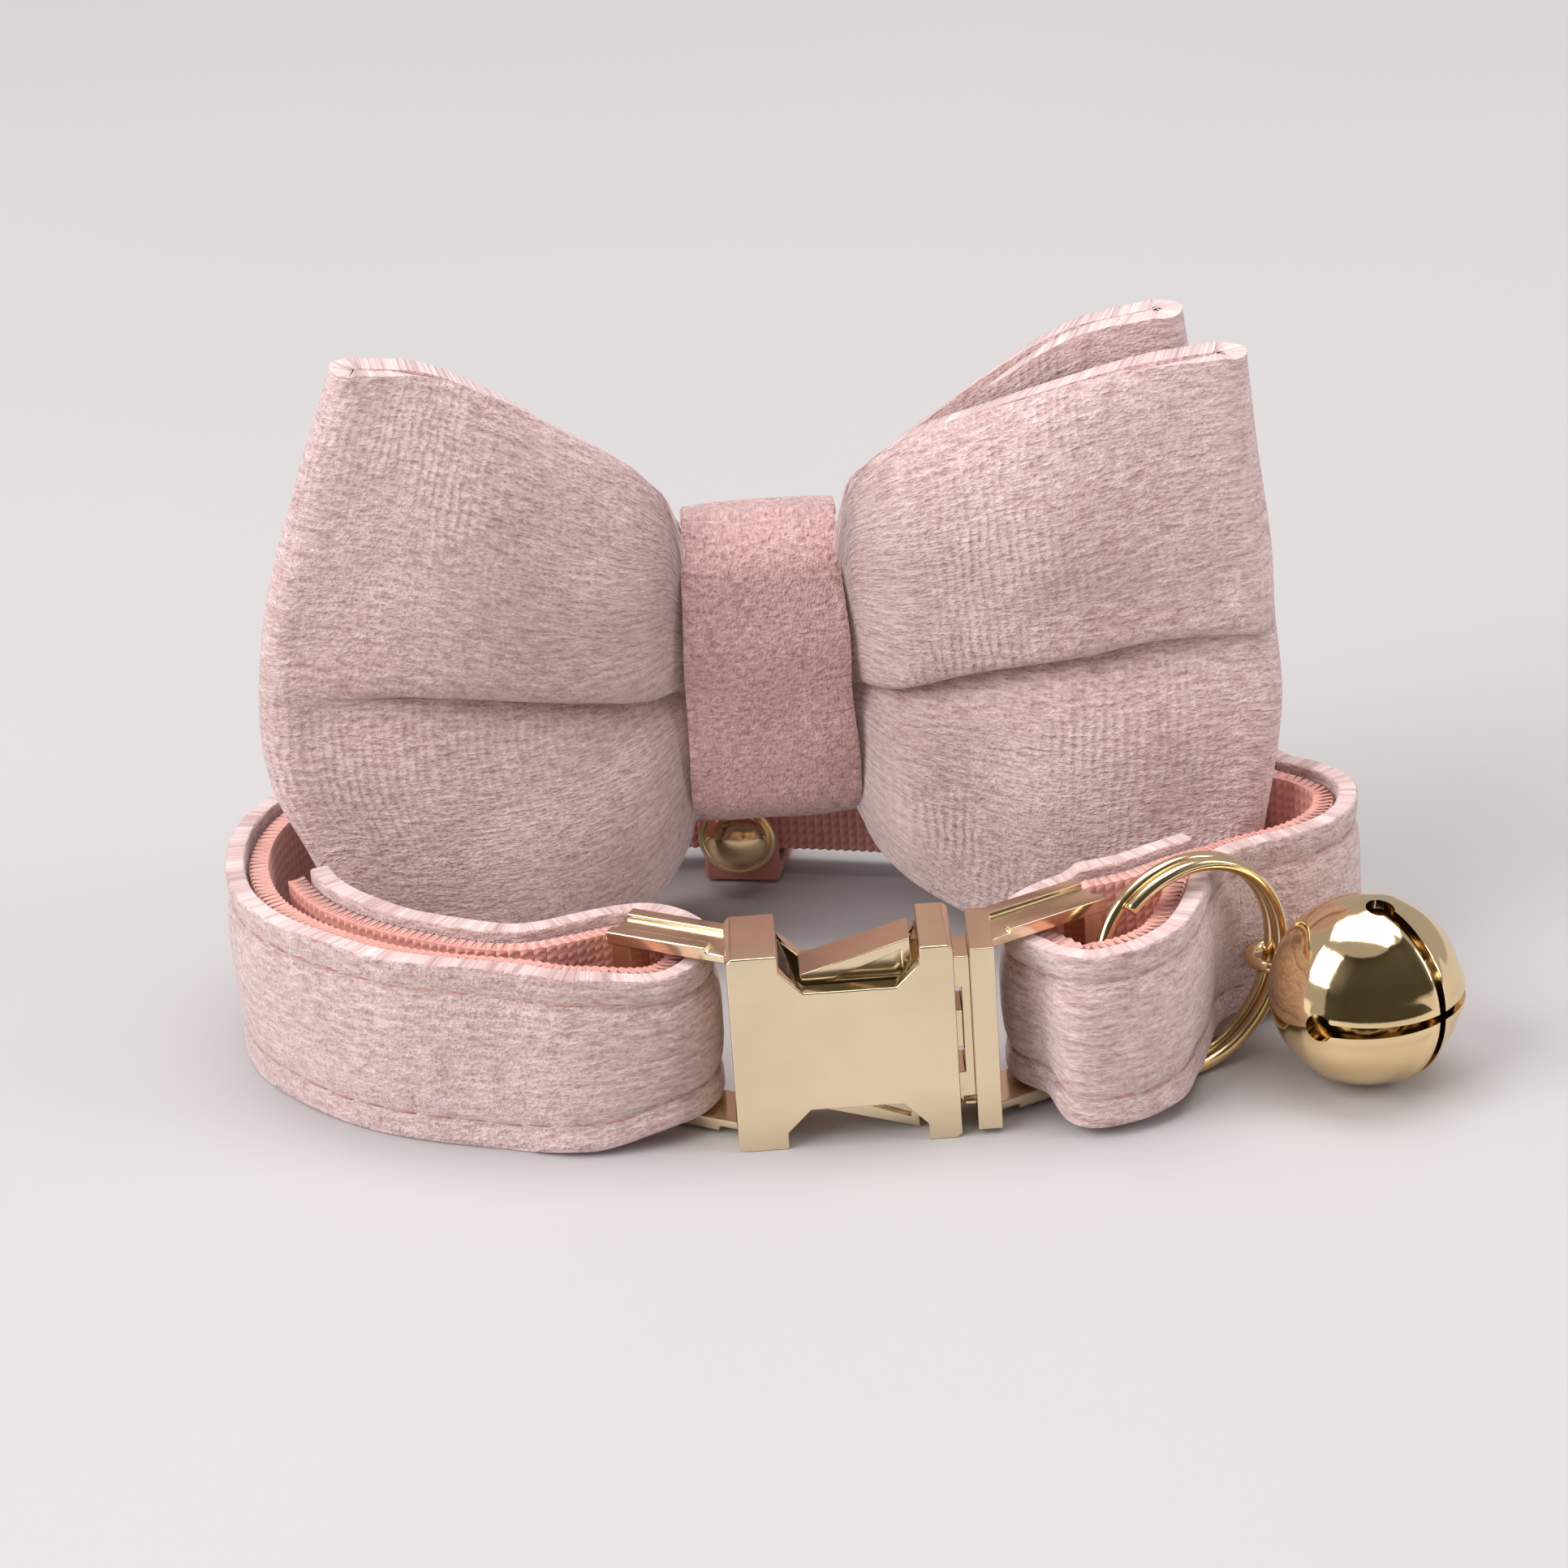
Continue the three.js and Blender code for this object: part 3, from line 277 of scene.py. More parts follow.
def spun(name, deep, pale):
    finish = Finish(name, Sheen_Weight=0.2)
    fibre = finish.specks(finish.solid(3000.0), 1.0, 2.0)
    share = finish.between(fibre, 0.3, 0.7)
    finish.wear(Base_Color=finish.colour(share, deep, pale), Roughness=0.7 + fibre * 0.2)
    finish.wear(Normal=finish.relief(fibre, 0.05))
    return finish.material


webbing = ribbed("ribbed webbing")
# The thread's colours are the velvet's shade at the seam: painted shade on the real stitches.
thread = spun("sewing thread", (0.36, 0.175, 0.150, 1.0), (0.56, 0.33, 0.29, 1.0))

# %% [markdown]
# The metal is a pale gold plate on cast zinc. Polished plate still has a faint cloudiness
# from polishing and tiny waves from casting, and both show only in what it reflects.

# %% Gold plate
def plated(name, tint, dull, wave):
    finish = Finish(name, Metallic=1.0)
    cloud = finish.specks(finish.solid(160.0), 1.0, 3.0)
    rub = finish.specks(finish.solid(900.0), 1.0, 4.0, 0.65)
    worn = tuple(channel * 0.90 for channel in tint)
    share = finish.between(cloud, 0.35, 0.7)
    shiny = finish.colour(share, (*worn, 1.0), (*tint, 1.0))
    finish.wear(Base_Color=shiny)
    finish.wear(Roughness=dull + rub * 0.10 + cloud * 0.04)
    finish.wear(Normal=finish.relief(cloud + rub * 0.12, wave))
    return finish.material


buckle_gold = plated("buckle gold", (0.92, 0.765, 0.53), 0.10, 0.05)
ring_gold = plated("ring gold", (0.90, 0.70, 0.42), 0.06, 0.03)
bell_gold = plated("bell gold", (0.93, 0.715, 0.41), 0.02, 0.06)

# %% [markdown]
# Every cloth piece starts flat, as it does on the cutting table: a grid whose UV map keeps
# each point's flat place in millimetres. Each point is then carried to where the cloth lies,
# and Solidify gives the cloth its thickness. Patterns follow the cloth by that UV map.

# %% Cloth from a flat cut
def linked(name, data):
    """A new object in the scene."""
    thing = bpy.data.objects.new(name, data)
    bpy.context.scene.collection.objects.link(thing)
    return thing


def meshed(name, work):
    """A new object in the scene from a bmesh, which is freed."""
    mesh = bpy.data.meshes.new(name)
    work.to_mesh(mesh)
    work.free()
    return linked(name, mesh)


def finished(name, work, slot, material, *replaced):
    """Turns a bmesh into a shown piece that rides on the collar."""
    piece = meshed(name, work)
    piece.data.shade_smooth()
    piece.data.materials.append(material)
    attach(piece, "root")
    if replaced:
        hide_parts(*replaced)
    return piece


def laid(cells, flat, place, closed=False, full=None):
    """A flat cut of flat[0] by flat[1] mm in so many cells, laid where place(u, v) says.

    full(u, v), where given, is the share of the cloth's thickness at each point.
    """
    work = bmesh.new()
    weights = work.verts.layers.deform.new() if full else None
    bmesh.ops.create_grid(work, x_segments=cells[0], y_segments=cells[1], size=1)
    cloth = work.loops.layers.uv.new("cloth")
    spot = {vert: ((vert.co.x + 1) / 2, (vert.co.y + 1) / 2) for vert in work.verts}
    for face in work.faces:
        for loop in face.loops:
            u, v = spot[loop.vert]
            loop[cloth].uv = (u * flat[0], v * flat[1])
    for vert, (u, v) in spot.items():
        vert.co = placed(place(u, v))
    if full:
        for vert, (u, v) in spot.items():
            vert[weights][0] = full(u, v)
    if closed:
        bmesh.ops.remove_doubles(work, verts=work.verts, dist=1e-6)
    bmesh.ops.recalc_face_normals(work, faces=work.faces)
    return work


def thicken(piece, thick, rounding, by_share=False, corner=50):
    """Cloth thickness on both sides of the laid surface, with round cut edges.

    by_share thins it where laid() was given a share, and corner is the least angle in degrees
    that counts as a cut edge.
    """
    solid = piece.modifiers.new("thickness", "SOLIDIFY")
    solid.thickness = thick * MM
    solid.offset = 0.0
    if by_share:
        solid.vertex_group = piece.vertex_groups.new(name="full").name
    edge = piece.modifiers.new("round edges", "BEVEL")
    edge.width = rounding * MM
    edge.segments = 3
    edge.limit_method = "ANGLE"
    edge.angle_limit = math.radians(corner)


def rumple(point, size, amount):
    """How far the cloth stands out of its smooth place, from seeded noise."""
    return noise.noise(Vector(point) / size) * amount


# %% [markdown]
# The strap runs along one route, seen from above: the loose end inside the right of the loop,
# round the plug's bar, past the split ring, all round the loop, round the body's bar, and the
# returned end inside the left. The route is a smooth curve through the same stops as the
# solid's, and the rows give each stop's height above the floor.

# %% The strap's stops
STRAP_HEIGHT = 12.5
VELVET, WEBBING, PLY_GAP, GAP = 1.3, 1.2, 0.3, 0.3
STRAP = VELVET + PLY_GAP + WEBBING
LOOP_WIDTH, LOOP_DEPTH = 70.6, 43.0
LOOP_LEFT = -LOOP_WIDTH * 0.524
FRAME_ANGLE, FRAME_LENGTH, BAR_WIDTH, RAIL = math.radians(29), 7.4, 1.3, 0.85
PLATE_BACK, PLATE_DEEP = 2.1, 3.6
FRAME_ROOT_Y = PLATE_BACK + PLATE_DEEP / 2
RING_RADIUS, RING_WIRE, RING_TURN = 6.95, 0.9, math.radians(30)
TURN_GAP, RING_ASIDE, RING_FORWARD = 0.12, 6.3, -0.7
RING_THICK = RING_WIRE * 2 + TURN_GAP
# Each row of the loop and its return: across, back, foot and height, as shares
LOOP_ROWS = [
    (0.955, 0.353, 0.04, 0.97), (0.983, 0.395, 0.01, 1), (0.997, 0.447, 0, 1),
    (0.999, 0.498, 0, 1), (0.98, 0.553, 0, 1), (0.956, 0.591, 0, 1), (0.938, 0.633, 0.01, 1),
    (0.925, 0.681, 0.02, 1), (0.895, 0.735, 0.05, 0.99), (0.843, 0.781, 0.08, 0.98),
    (0.736, 0.851, 0.1, 0.98), (0.608, 0.914, 0.115, 0.97), (0.482, 0.967, 0.115, 0.97),
    (0.338, 1, 0.11, 0.97), (0.177, 0.935, 0.05, 0.99), (0.078, 0.821, 0.01, 1),
    (0.03, 0.712, 0, 1), (0.007, 0.623, 0, 1), (0, 0.547, 0, 1), (0.001, 0.472, 0, 1),
    (0.016, 0.374, 0, 1), (0.038, 0.307, 0, 1), (0.079, 0.23, 0, 1), (0.151, 0.142, 0, 1),
    (0.251, 0.079, 0, 1), (0.306, 0.047, 0.03, 0.96),
]
RETURN_ROWS = [
    (0.258, 0.172, 0.1, 0.9), (0.161, 0.24, 0.09, 0.91), (0.099, 0.326, 0.09, 0.91),
    (0.071, 0.395, 0.09, 0.91), (0.058, 0.451, 0.08, 0.91),
]
# Beside the ring: along it, in front of it, foot and height
RING_ROWS = [
    (-1.3, 0.8, 0.05, 0.95), (-1, 1.15, 0.06, 0.945), (-0.62, 1.16, 0.085, 0.93),
    (-0.33, 0.74, 0.135, 0.88), (0, 0, 0.135, 0.89), (0.28, -0.74, 0.135, 0.89),
    (0.72, -1.38, 0.11, 0.91),
]
# Round a bar: outwards and forwards, in strap thicknesses
FOLD_ROWS = [(0.35, -1.25), (-0.9, -0.95), (-1.5, 0.05), (-1.35, 1.05)]
# The loose end: outwards and forwards in frame lengths, foot and height
TAIL_ROWS = [
    (1.45, -0.4, 0.08, 0.9), (1.06, -0.38, 0.08, 0.91), (0.62, -0.36, 0.08, 0.91),
    (0.3, -0.42, 0.09, 0.9),
]


def from_bar(side, root_x, far, forward):
    """A point from a strap frame's bar: outwards along its rails, and to the front."""
    along = Vector((side * math.cos(FRAME_ANGLE), math.sin(FRAME_ANGLE)))
    front = Vector((side * along.y, -side * along.x))
    root = Vector((root_x, FRAME_ROOT_Y))
    return root + along * (FRAME_LENGTH - BAR_WIDTH / 2 + far) + front * forward


LEFT_ROOT, RIGHT_ROOT = -6.2, 10.1
LEFT_FRAME, RIGHT_FRAME = (0.3, 12.9), (0.4, 12.8)
ring_along = Vector((math.cos(RING_TURN), math.sin(RING_TURN)))
ring_front = Vector((ring_along.y, -ring_along.x))
ring_centre = from_bar(1, RIGHT_ROOT, 0, 0) + Vector((RING_ASIDE, RING_FORWARD))


def ring_at(along, forward):
    """A place so far along the ring's plane and so far in front of it."""
    return ring_centre + ring_along * along + ring_front * forward


def stop(place, lift, tall):
    """A stop of the strap, with its low and high edges from shares of its height."""
    return (place.x, place.y, lift * STRAP_HEIGHT, (lift + tall) * STRAP_HEIGHT)


def fold_stop(side, root_x, frame_ends, row):
    """A stop round a frame's bar, where the strap fits between the frame's rails."""
    spot = from_bar(side, root_x, row[0] * STRAP, row[1] * STRAP)
    return (spot.x, spot.y, frame_ends[0] + RAIL + GAP, frame_ends[1] - RAIL - GAP)


def in_loop(row):
    """A stop from a row of the loop's table."""
    spot = Vector((LOOP_LEFT + row[0] * LOOP_WIDTH, row[1] * LOOP_DEPTH))
    return stop(spot, row[2], row[3])


beside_ring = RING_THICK / 2 + GAP + STRAP / 2
stops = [
    stop(from_bar(1, RIGHT_ROOT, far * FRAME_LENGTH, forward * FRAME_LENGTH), lift, tall)
    for far, forward, lift, tall in TAIL_ROWS
]
stops += [fold_stop(1, RIGHT_ROOT, RIGHT_FRAME, row) for row in FOLD_ROWS]
stops += [
    stop(ring_at(along * RING_RADIUS, forward * beside_ring), lift, tall)
    for along, forward, lift, tall in RING_ROWS
]
stops += [in_loop(row) for row in LOOP_ROWS]
stops += [fold_stop(-1, LEFT_ROOT, LEFT_FRAME, row) for row in reversed(FOLD_ROWS)]
stops += [in_loop(row) for row in RETURN_ROWS]

# %% [markdown]
# A centripetal curve through the stops never overshoots where they crowd together. It is
# sampled finely once, and later steps ask for a place by the distance along the strap.

# %% The strap's route by distance
def curve_point(k, t):
    """The route between stops k and k + 1, and its direction, seen from above."""
    points = [Vector(entry[:2]) for entry in stops]
    points = [points[0] * 2 - points[1], *points, points[-1] * 2 - points[-2]]
    p0, p1, p2, p3 = points[k : k + 4]
    d0, d1, d2 = ((b - a).length ** 0.5 for a, b in ((p0, p1), (p1, p2), (p2, p3)))
    t1 = ((p1 - p0) / d0 - (p2 - p0) / (d0 + d1) + (p2 - p1) / d1) * d1
    t2 = ((p2 - p1) / d1 - (p3 - p1) / (d1 + d2) + (p3 - p2) / d2) * d1
    c2 = (p2 - p1) * 3 - t1 * 2 - t2
    c3 = (p1 - p2) * 2 + t1 + t2
    return p1 + t1 * t + c2 * t * t + c3 * t**3, t1 + c2 * 2 * t + c3 * 3 * t * t


STEPS = 60
route = []
length = 0.0
for k in range(len(stops) - 1):
    for step in range(STEPS + (k == len(stops) - 2)):
        t = step / STEPS
        spot, way = curve_point(k, t)
        if route:
            length += (spot - route[-1][1]).length
        share = smooth(t, 0, 1)
        low = mix(stops[k][2], stops[k + 1][2], share)
        high = mix(stops[k][3], stops[k + 1][3], share)
        route.append((length, spot, way.normalized(), low, high))
print("strap length", round(length, 1), "mm")


def along_strap(distance):
    """Middle of the strap, its outside direction, and its low and high edges."""
    start, end = 0, len(route) - 1
    while end - start > 1:
        middle = (start + end) // 2
        if route[middle][0] <= distance:
            start = middle
        else:
            end = middle
    a, b = route[start], route[end]
    share = min(1.0, max(0.0, (distance - a[0]) / (b[0] - a[0])))
    way = a[2].lerp(b[2], share).normalized()
    outside = Vector((way.y, -way.x))
    return a[1].lerp(b[1], share), outside, mix(a[3], b[3], share), mix(a[4], b[4], share)


# %% [markdown]
# The velvet ply is sewn down along both edges, so its face swells a little between the two
# seams and dips at each of them. Its cut edges are thick and soft.

# %% The strap's velvet
SEAM_IN, SEAM_WIDE, SEAM_DIP = 1.85, 0.45, 0.30
CROWN_RISE, CROWN, STRAP_RUMPLE = 2.4, 0.16, 0.13


def strap_point(distance, height_share, offset, inset, swell):
    """A point of one ply, so far outside the strap's middle and so far in from its edges."""
    centre, outside, low, high = along_strap(distance)
    low, high = low + inset, high - inset
    up = mix(low, high, height_share)
    from_edge = min(up - low, high - up)
    dip = hill(from_edge - SEAM_IN, SEAM_WIDE) * SEAM_DIP
    crown = smooth(from_edge, SEAM_IN, SEAM_IN + CROWN_RISE) * CROWN
    out = offset + (crown - dip) * swell
    out += rumple((distance, up, 3.0), 5.0, STRAP_RUMPLE * swell)
    spot = centre + outside * out
    return (spot.x, spot.y, up)


velvet_offset = (STRAP - VELVET) / 2


def velvet_point(u, v):
    wave = rumple((u * length, 40.0 * round(v), 9.0), 7.0, 0.22 * abs(2 * v - 1))
    x, y, z = strap_point(u * length, v, velvet_offset, 0.0, 1.0)
    return (x, y, z + wave * (1 if v > 0.5 else 0.3))


work = laid((520, 22), (length, STRAP_HEIGHT), velvet_point)
strap_velvet = finished("velvet_strap", work, "velvet", strap_pile, "strap_velvet")
thicken(strap_velvet, VELVET, 0.5)
print("velvet strap", len(strap_velvet.data.polygons), "faces before its thickness")

# %% [markdown]
# The webbing ply shows its ribs on the inside of the loop and along its top edge, so the ribs
# are real waves in the mesh: a little out and in, and a little up and down at the edges. Four
# cells to a rib catch each crest and each groove.

# %% The strap's webbing
WEBBING_INSET, RIB_OUT, RIB_UP = 0.55, 0.05, 0.10
rib_count = round(length / RIB)
webbing_offset = -(STRAP - WEBBING) / 2


def webbing_point(u, v):
    rib = math.sin(math.tau * u * rib_count)
    offset = webbing_offset - RIB_OUT * rib
    x, y, z = strap_point(u * length, v, offset, WEBBING_INSET, 0.0)
    edge = abs(2 * v - 1) ** 8
    return (x, y, z + RIB_UP * rib * edge * (1 if v > 0.5 else -1))


work = laid((4 * rib_count, 8), (length, STRAP_HEIGHT), webbing_point)
strap_webbing = finished("webbing_strap", work, "webbing", webbing, "strap_webbing")
thicken(strap_webbing, WEBBING, 0.3, corner=75)

# %% [markdown]
# A row of machine stitches runs along each edge. Each stitch is a short fat strand that sinks
# into the pile at both ends, and the row wanders a little as hand-fed sewing does.

# %% Stitches
STITCH, STITCH_SPACE, THREAD, FIRST_STITCH = 2.2, 2.3, 0.21, 1.2


def add_stitch(work, middle, along, out):
    """One strand of thread, a stretched ball that lies along the cloth."""
    up = along.cross(out).normalized()
    turn = Matrix((along, out, up)).transposed().to_4x4()
    size = Matrix.Diagonal((STITCH / 2 * MM, THREAD * 0.55 * MM, THREAD * 0.6 * MM, 1.0))
    matrix = Matrix.Translation(placed(middle)) @ turn @ size
    bmesh.ops.create_uvsphere(work, u_segments=6, v_segments=6, radius=1, matrix=matrix)


def seam(work, high_edge):
    """One row of stitches along the strap's high or low edge."""
    distance = FIRST_STITCH
    while distance < length - FIRST_STITCH:
        _, _, low, high = along_strap(distance)
        wander = rumple((distance, 5.0 if high_edge else 25.0, 0.0), 6.0, 0.35)
        up = (high - SEAM_IN if high_edge else low + SEAM_IN) + wander
        share = (up - low) / (high - low)
        surface = velvet_offset + VELVET / 2 + 0.01
        ends = [
            Vector(strap_point(distance + reach, share, surface, 0.0, 1.0))
            for reach in (-STITCH / 2, 0.0, STITCH / 2)
        ]
        along = (ends[2] - ends[0]).normalized()
        out = along.cross(Vector((0, 0, 1))).normalized()
        add_stitch(work, ends[1], along, out)
        distance += STITCH_SPACE


work = bmesh.new()
seam(work, True)
seam(work, False)
stitches = finished("strap_stitches", work, "velvet", thread)
print("stitches", len(stitches.data.polygons), "faces")

# %% [markdown]
# The bow is two wide sleeves of velvet, one behind the other. Seen from above each is a flat
# ring of cloth, squeezed in the middle by the knot. The front one is puffed, with one deep
# crease from the knot outwards, where the upper half hangs over the lower. Each column of a
# lobe's table gives one measure at the shares of the reach in ALONG: its top and low edge, how
# far forward it comes, half its depth, and how deep and how high the crease is. The column
# named edge gives the fold's reach by height.

# %% The bow's tables
BOW_REACH, SQUEEZED, BOW_HEIGHT, BOW_X, BOW_FORWARD = 33.0, 0.19, 44.4, -2.4, 10.0
BOW_PLY, PLY_AT_KNOT, MOUTH, BOW_PUFF = 1.9, 1.2, 0.05, 2.6
KNOT_WIDTH, KNOT_HEIGHT, KNOT_LOW, KNOT_WALL = 11.2, 21.2, 8.4, 1.5
KNOT_EDGE = KNOT_WIDTH / 2 + 0.05
KNOT_FRONT = LOOP_DEPTH * 0.658
knot_middle = KNOT_LOW + KNOT_HEIGHT / 2
sleeve_at_knot = 2 * PLY_AT_KNOT + GAP
front_centre = KNOT_FRONT + KNOT_WALL + GAP + sleeve_at_knot / 2
ALONG = (0, SQUEEZED, 0.205, 0.26, 0.34, 0.49, 0.65, 0.83, 1)


def column(*values):
    """One column of a lobe's table, with the shares it is given at."""
    return list(zip(ALONG, values))


LEFT = {
    "top": column(0.602, 0.603, 0.695, 0.742, 0.787, 0.851, 0.921, 0.979, 0.998),
    "low": column(0.252, 0.252, 0.215, 0.158, 0.108, 0.060, 0.029, 0.014, 0.018),
    "fore": column(0, 0.02, 0.04, 0.09, 0.17, 0.35, 0.53, 0.665, 0.74),
    "half": column(0.39, 0.39, 0.60, 0.70, 0.80, 0.88, 0.88, 0.78, 0.65),
    "crease": column(0.3, 0.5, 0.8, 0.95, 1, 1, 0.9, 0.45, 0.05),
    "edge": [(0, 0.79), (0.13, 0.87), (0.27, 0.945), (0.36, 0.992), (0.48, 1), (0.64, 0.964),
             (0.82, 0.883), (1, 0.79)],
    "crease_up": column(-0.10, -0.10, -0.09, -0.06, 0.0, 0.04, 0.047, 0.034, 0.0),
}
RIGHT = {
    "top": column(0.602, 0.603, 0.700, 0.750, 0.795, 0.841, 0.886, 0.928, 0.95),
    "low": column(0.252, 0.252, 0.200, 0.145, 0.102, 0.058, 0.029, 0.018, 0.024),
    "fore": column(0, 0.02, 0.05, 0.13, 0.26, 0.44, 0.65, 0.83, 0.95),
    "half": column(0.39, 0.39, 0.60, 0.70, 0.80, 0.88, 0.88, 0.78, 0.65),
    "crease": column(0.3, 0.5, 0.8, 0.95, 1, 1, 1, 1, 0.75),
    "edge": [(0, 0.91), (0.2, 0.955), (0.45, 1), (0.65, 0.988), (0.85, 0.96), (1, 0.943)],
    "crease_up": column(-0.10, -0.10, -0.09, -0.06, 0.0, 0.073, 0.116, 0.134, 0.106),
}
FRONT_SLEEVE = {"centre": front_centre, "turn": 0, "reach": 1, "depth": 1, "behind": 0,
                "fore": 1, "raise": 0, "sink": 0}
BACK_SLEEVE = {"centre": front_centre + sleeve_at_knot + GAP, "turn": 2.4, "reach": 0.925,
               "depth": 0.1, "behind": 3.3, "fore": 1.04, "raise": 0.04, "sink": 0.085}


# %% [markdown]
# One function carries a point of the flat band to its place in the sleeve. Going once round,
# the band runs out along the front of the right lobe, turns at the fold, comes back behind,
# and does the same on the left.

# %% Laying one sleeve
def round_the_sleeve(u):
    """Side, share of the way out, face (-1 front, 0 fold, 1 back) and bend, from u."""
    side = 1 if u < 0.5 else -1
    t = u * 2 if side > 0 else (1 - u) * 2
    fold_from, fold_to = 0.46, 0.54
    if t < fold_from:
        return side, t / fold_from, -1, -90.0
    if t > fold_to:
        return side, (1 - t) / (1 - fold_to), 1, 90.0
    return side, 1.0, 0, -90.0 + 180.0 * (t - fold_from) / (fold_to - fold_from)


# The shares of the reach by which the cloth is thick, full, level and puffed
THICK_BY, LIFTED_BY, LEVEL_BY, PUFFED_BY = 0.21, 0.22, 0.32, 0.33
# Above and below the crease: the puff's height, how it rises and how it falls
PUFF_ABOVE, PUFF_BELOW = (1.45, 0.40, 3), (1.35, 0.80, 4)
DENT_WIDE, ROLL_WIDE, ROLL_SHARP = 0.12, 0.17, 0.035
DENT_PAST, ROLL_DOWN, ROLL_OUT, PINCH = 0.3, 1.5, 1.3, 0.88
# Size and amount of the cloth's large and small rumples
LARGE, SMALL = (9.0, 0.7), (3.2, 0.16)


def since(along, by):
    """0 in the knot, and 1 once a share of the reach is passed."""
    return smooth(along, SQUEEZED, by)


def sleeve_ply(sleeve, lobe, along, v, fronted):
    """The ply's thickness, half the shut mouth's depth and half the sleeve's, at a point."""
    thick = since(along, THICK_BY)
    ply = mix(PLY_AT_KNOT, BOW_PLY, thick)
    mouth = (ply + mix(GAP, MOUTH, thick)) / 2
    full = max(mouth, mix(mouth, read(lobe["half"], along) * BOW_PLY, sleeve["depth"]))
    if along <= SQUEEZED:
        full = mouth
    open_half = mix(mouth, full, math.sqrt(max(0.0, 1 - v * v)))
    return ply, mouth, mix(mouth, open_half, fronted)


def sleeve_relief(sleeve, lobe, along, v, fronted, room):
    """How far the front stands out of its smooth place, and how far it hangs down."""
    crease_up = read(lobe["crease_up"], along)
    above = v > crease_up
    from_crease = abs(v - crease_up) / (1 - crease_up if above else 1 + crease_up)
    tall, rise, fall = PUFF_ABOVE if above else PUFF_BELOW
    puff = tall * from_crease**rise * (1 - from_crease**fall)
    bulge = BOW_PUFF * sleeve["depth"] * since(along, PUFFED_BY) * puff
    bulge *= 1 - smooth(along, 0.55, 1)
    crease = read(lobe["crease"], along) * sleeve["depth"] * since(along, THICK_BY) * fronted
    dent = (room + DENT_PAST) * crease * hill(from_crease, DENT_WIDE)
    roll = 0.0
    if above:
        roll = crease * hill(from_crease, ROLL_WIDE) * (1 - hill(from_crease, ROLL_SHARP))
    return bulge - dent + ROLL_OUT * roll, ROLL_DOWN * roll


def bow_point(sleeve, u, height_share):
    """Where a point of the flat band lies, in millimetres from the buckle."""
    side, along, face, bend = round_the_sleeve(u)
    lobe = RIGHT if side > 0 else LEFT
    v = 2 * height_share - 1
    fronted = {-1: 1.0, 1: 0.0, 0: smooth(90 - bend, 0, 180)}[face]
    ply, mouth, half = sleeve_ply(sleeve, lobe, along, v, fronted)
    room = max(0.0, half + mouth - ply - GAP)
    front, droop = sleeve_relief(sleeve, lobe, along, v, fronted, room)

    fold = read(lobe["edge"], height_share) * BOW_REACH * sleeve["reach"]
    in_knot = min(1.0, along / SQUEEZED)
    outside = max(0.0, along - SQUEEZED) / (1 - SQUEEZED)
    out = mix(KNOT_EDGE * in_knot, fold - ply / 2 - half, outside)
    angle = math.radians(bend)
    out += half * math.cos(angle) if face == 0 else 0.0
    depth = half * math.sin(angle) if face == 0 else face * half

    puffed = since(along, PUFFED_BY)
    sink = sleeve["sink"] * since(along, LIFTED_BY)
    sink *= 1 - since(along, 0.85) * (1 if side > 0 else 0.35)
    low = read(lobe["low"], along) + sleeve["raise"] * puffed
    top = read(lobe["top"], along) - sink
    up = mix(low, top, height_share) * BOW_HEIGHT - knot_middle - droop
    level = since(along, LEVEL_BY)
    middle = sleeve["centre"] + sleeve["behind"] * level
    middle -= read(lobe["fore"], along) * BOW_FORWARD * sleeve["fore"]
    soft = rumple((side * out, up, bend / 9), *LARGE) * puffed
    soft += rumple((side * out, up, bend / 9 + 7), *SMALL) * puffed
    sway = math.radians(sleeve["turn"]) * level
    x = side * out
    return (
        BOW_X + x * math.cos(sway) - up * math.sin(sway),
        middle + depth - front * fronted - soft * fronted,
        knot_middle + x * math.sin(sway) + up * math.cos(sway),
    )


def bow_fullness(sleeve, u, height_share):
    """The cloth is pinched thin along the crease."""
    side, along, _, bend = round_the_sleeve(u)
    lobe = RIGHT if side > 0 else LEFT
    v = 2 * height_share - 1
    crease = read(lobe["crease"], along) * sleeve["depth"] * smooth(90 - bend, 0, 180)
    return 1 - PINCH * crease * hill(v - read(lobe["crease_up"], along), ROLL_WIDE)


def sew_sleeve(name, sleeve, node):
    """A sleeve from its flat band, eased a little so that no fold has a hard line."""
    flat = (4 * BOW_REACH * sleeve["reach"], BOW_HEIGHT)
    work = laid(
        (330, 116), flat, lambda u, v: bow_point(sleeve, u, v), closed=True,
        full=lambda u, v: bow_fullness(sleeve, u, v),
    )
    inside = [vert for vert in work.verts if not vert.is_boundary]
    for _ in range(5):
        bmesh.ops.smooth_vert(
            work, verts=inside, factor=0.5, use_axis_x=True, use_axis_y=True, use_axis_z=True,
        )
    piece = finished(name, work, "velvet", bow_velvet, node)
    thicken(piece, BOW_PLY, 0.7, by_share=True)
    flat[1] * MM
    flat[0] * MM


sew_sleeve("bow_front", FRONT_SLEEVE, "bow_front_sleeve")
sew_sleeve("bow_back", BACK_SLEEVE, "bow_back_sleeve")

# %% [markdown]
# The knot is a short strip wrapped round both sleeves. It is laid on a rounded rectangle seen
# from the side, and its front is crowned and leans back at the top and the foot. Its two long
# edges are folded under, so a low ridge runs beside each of them.

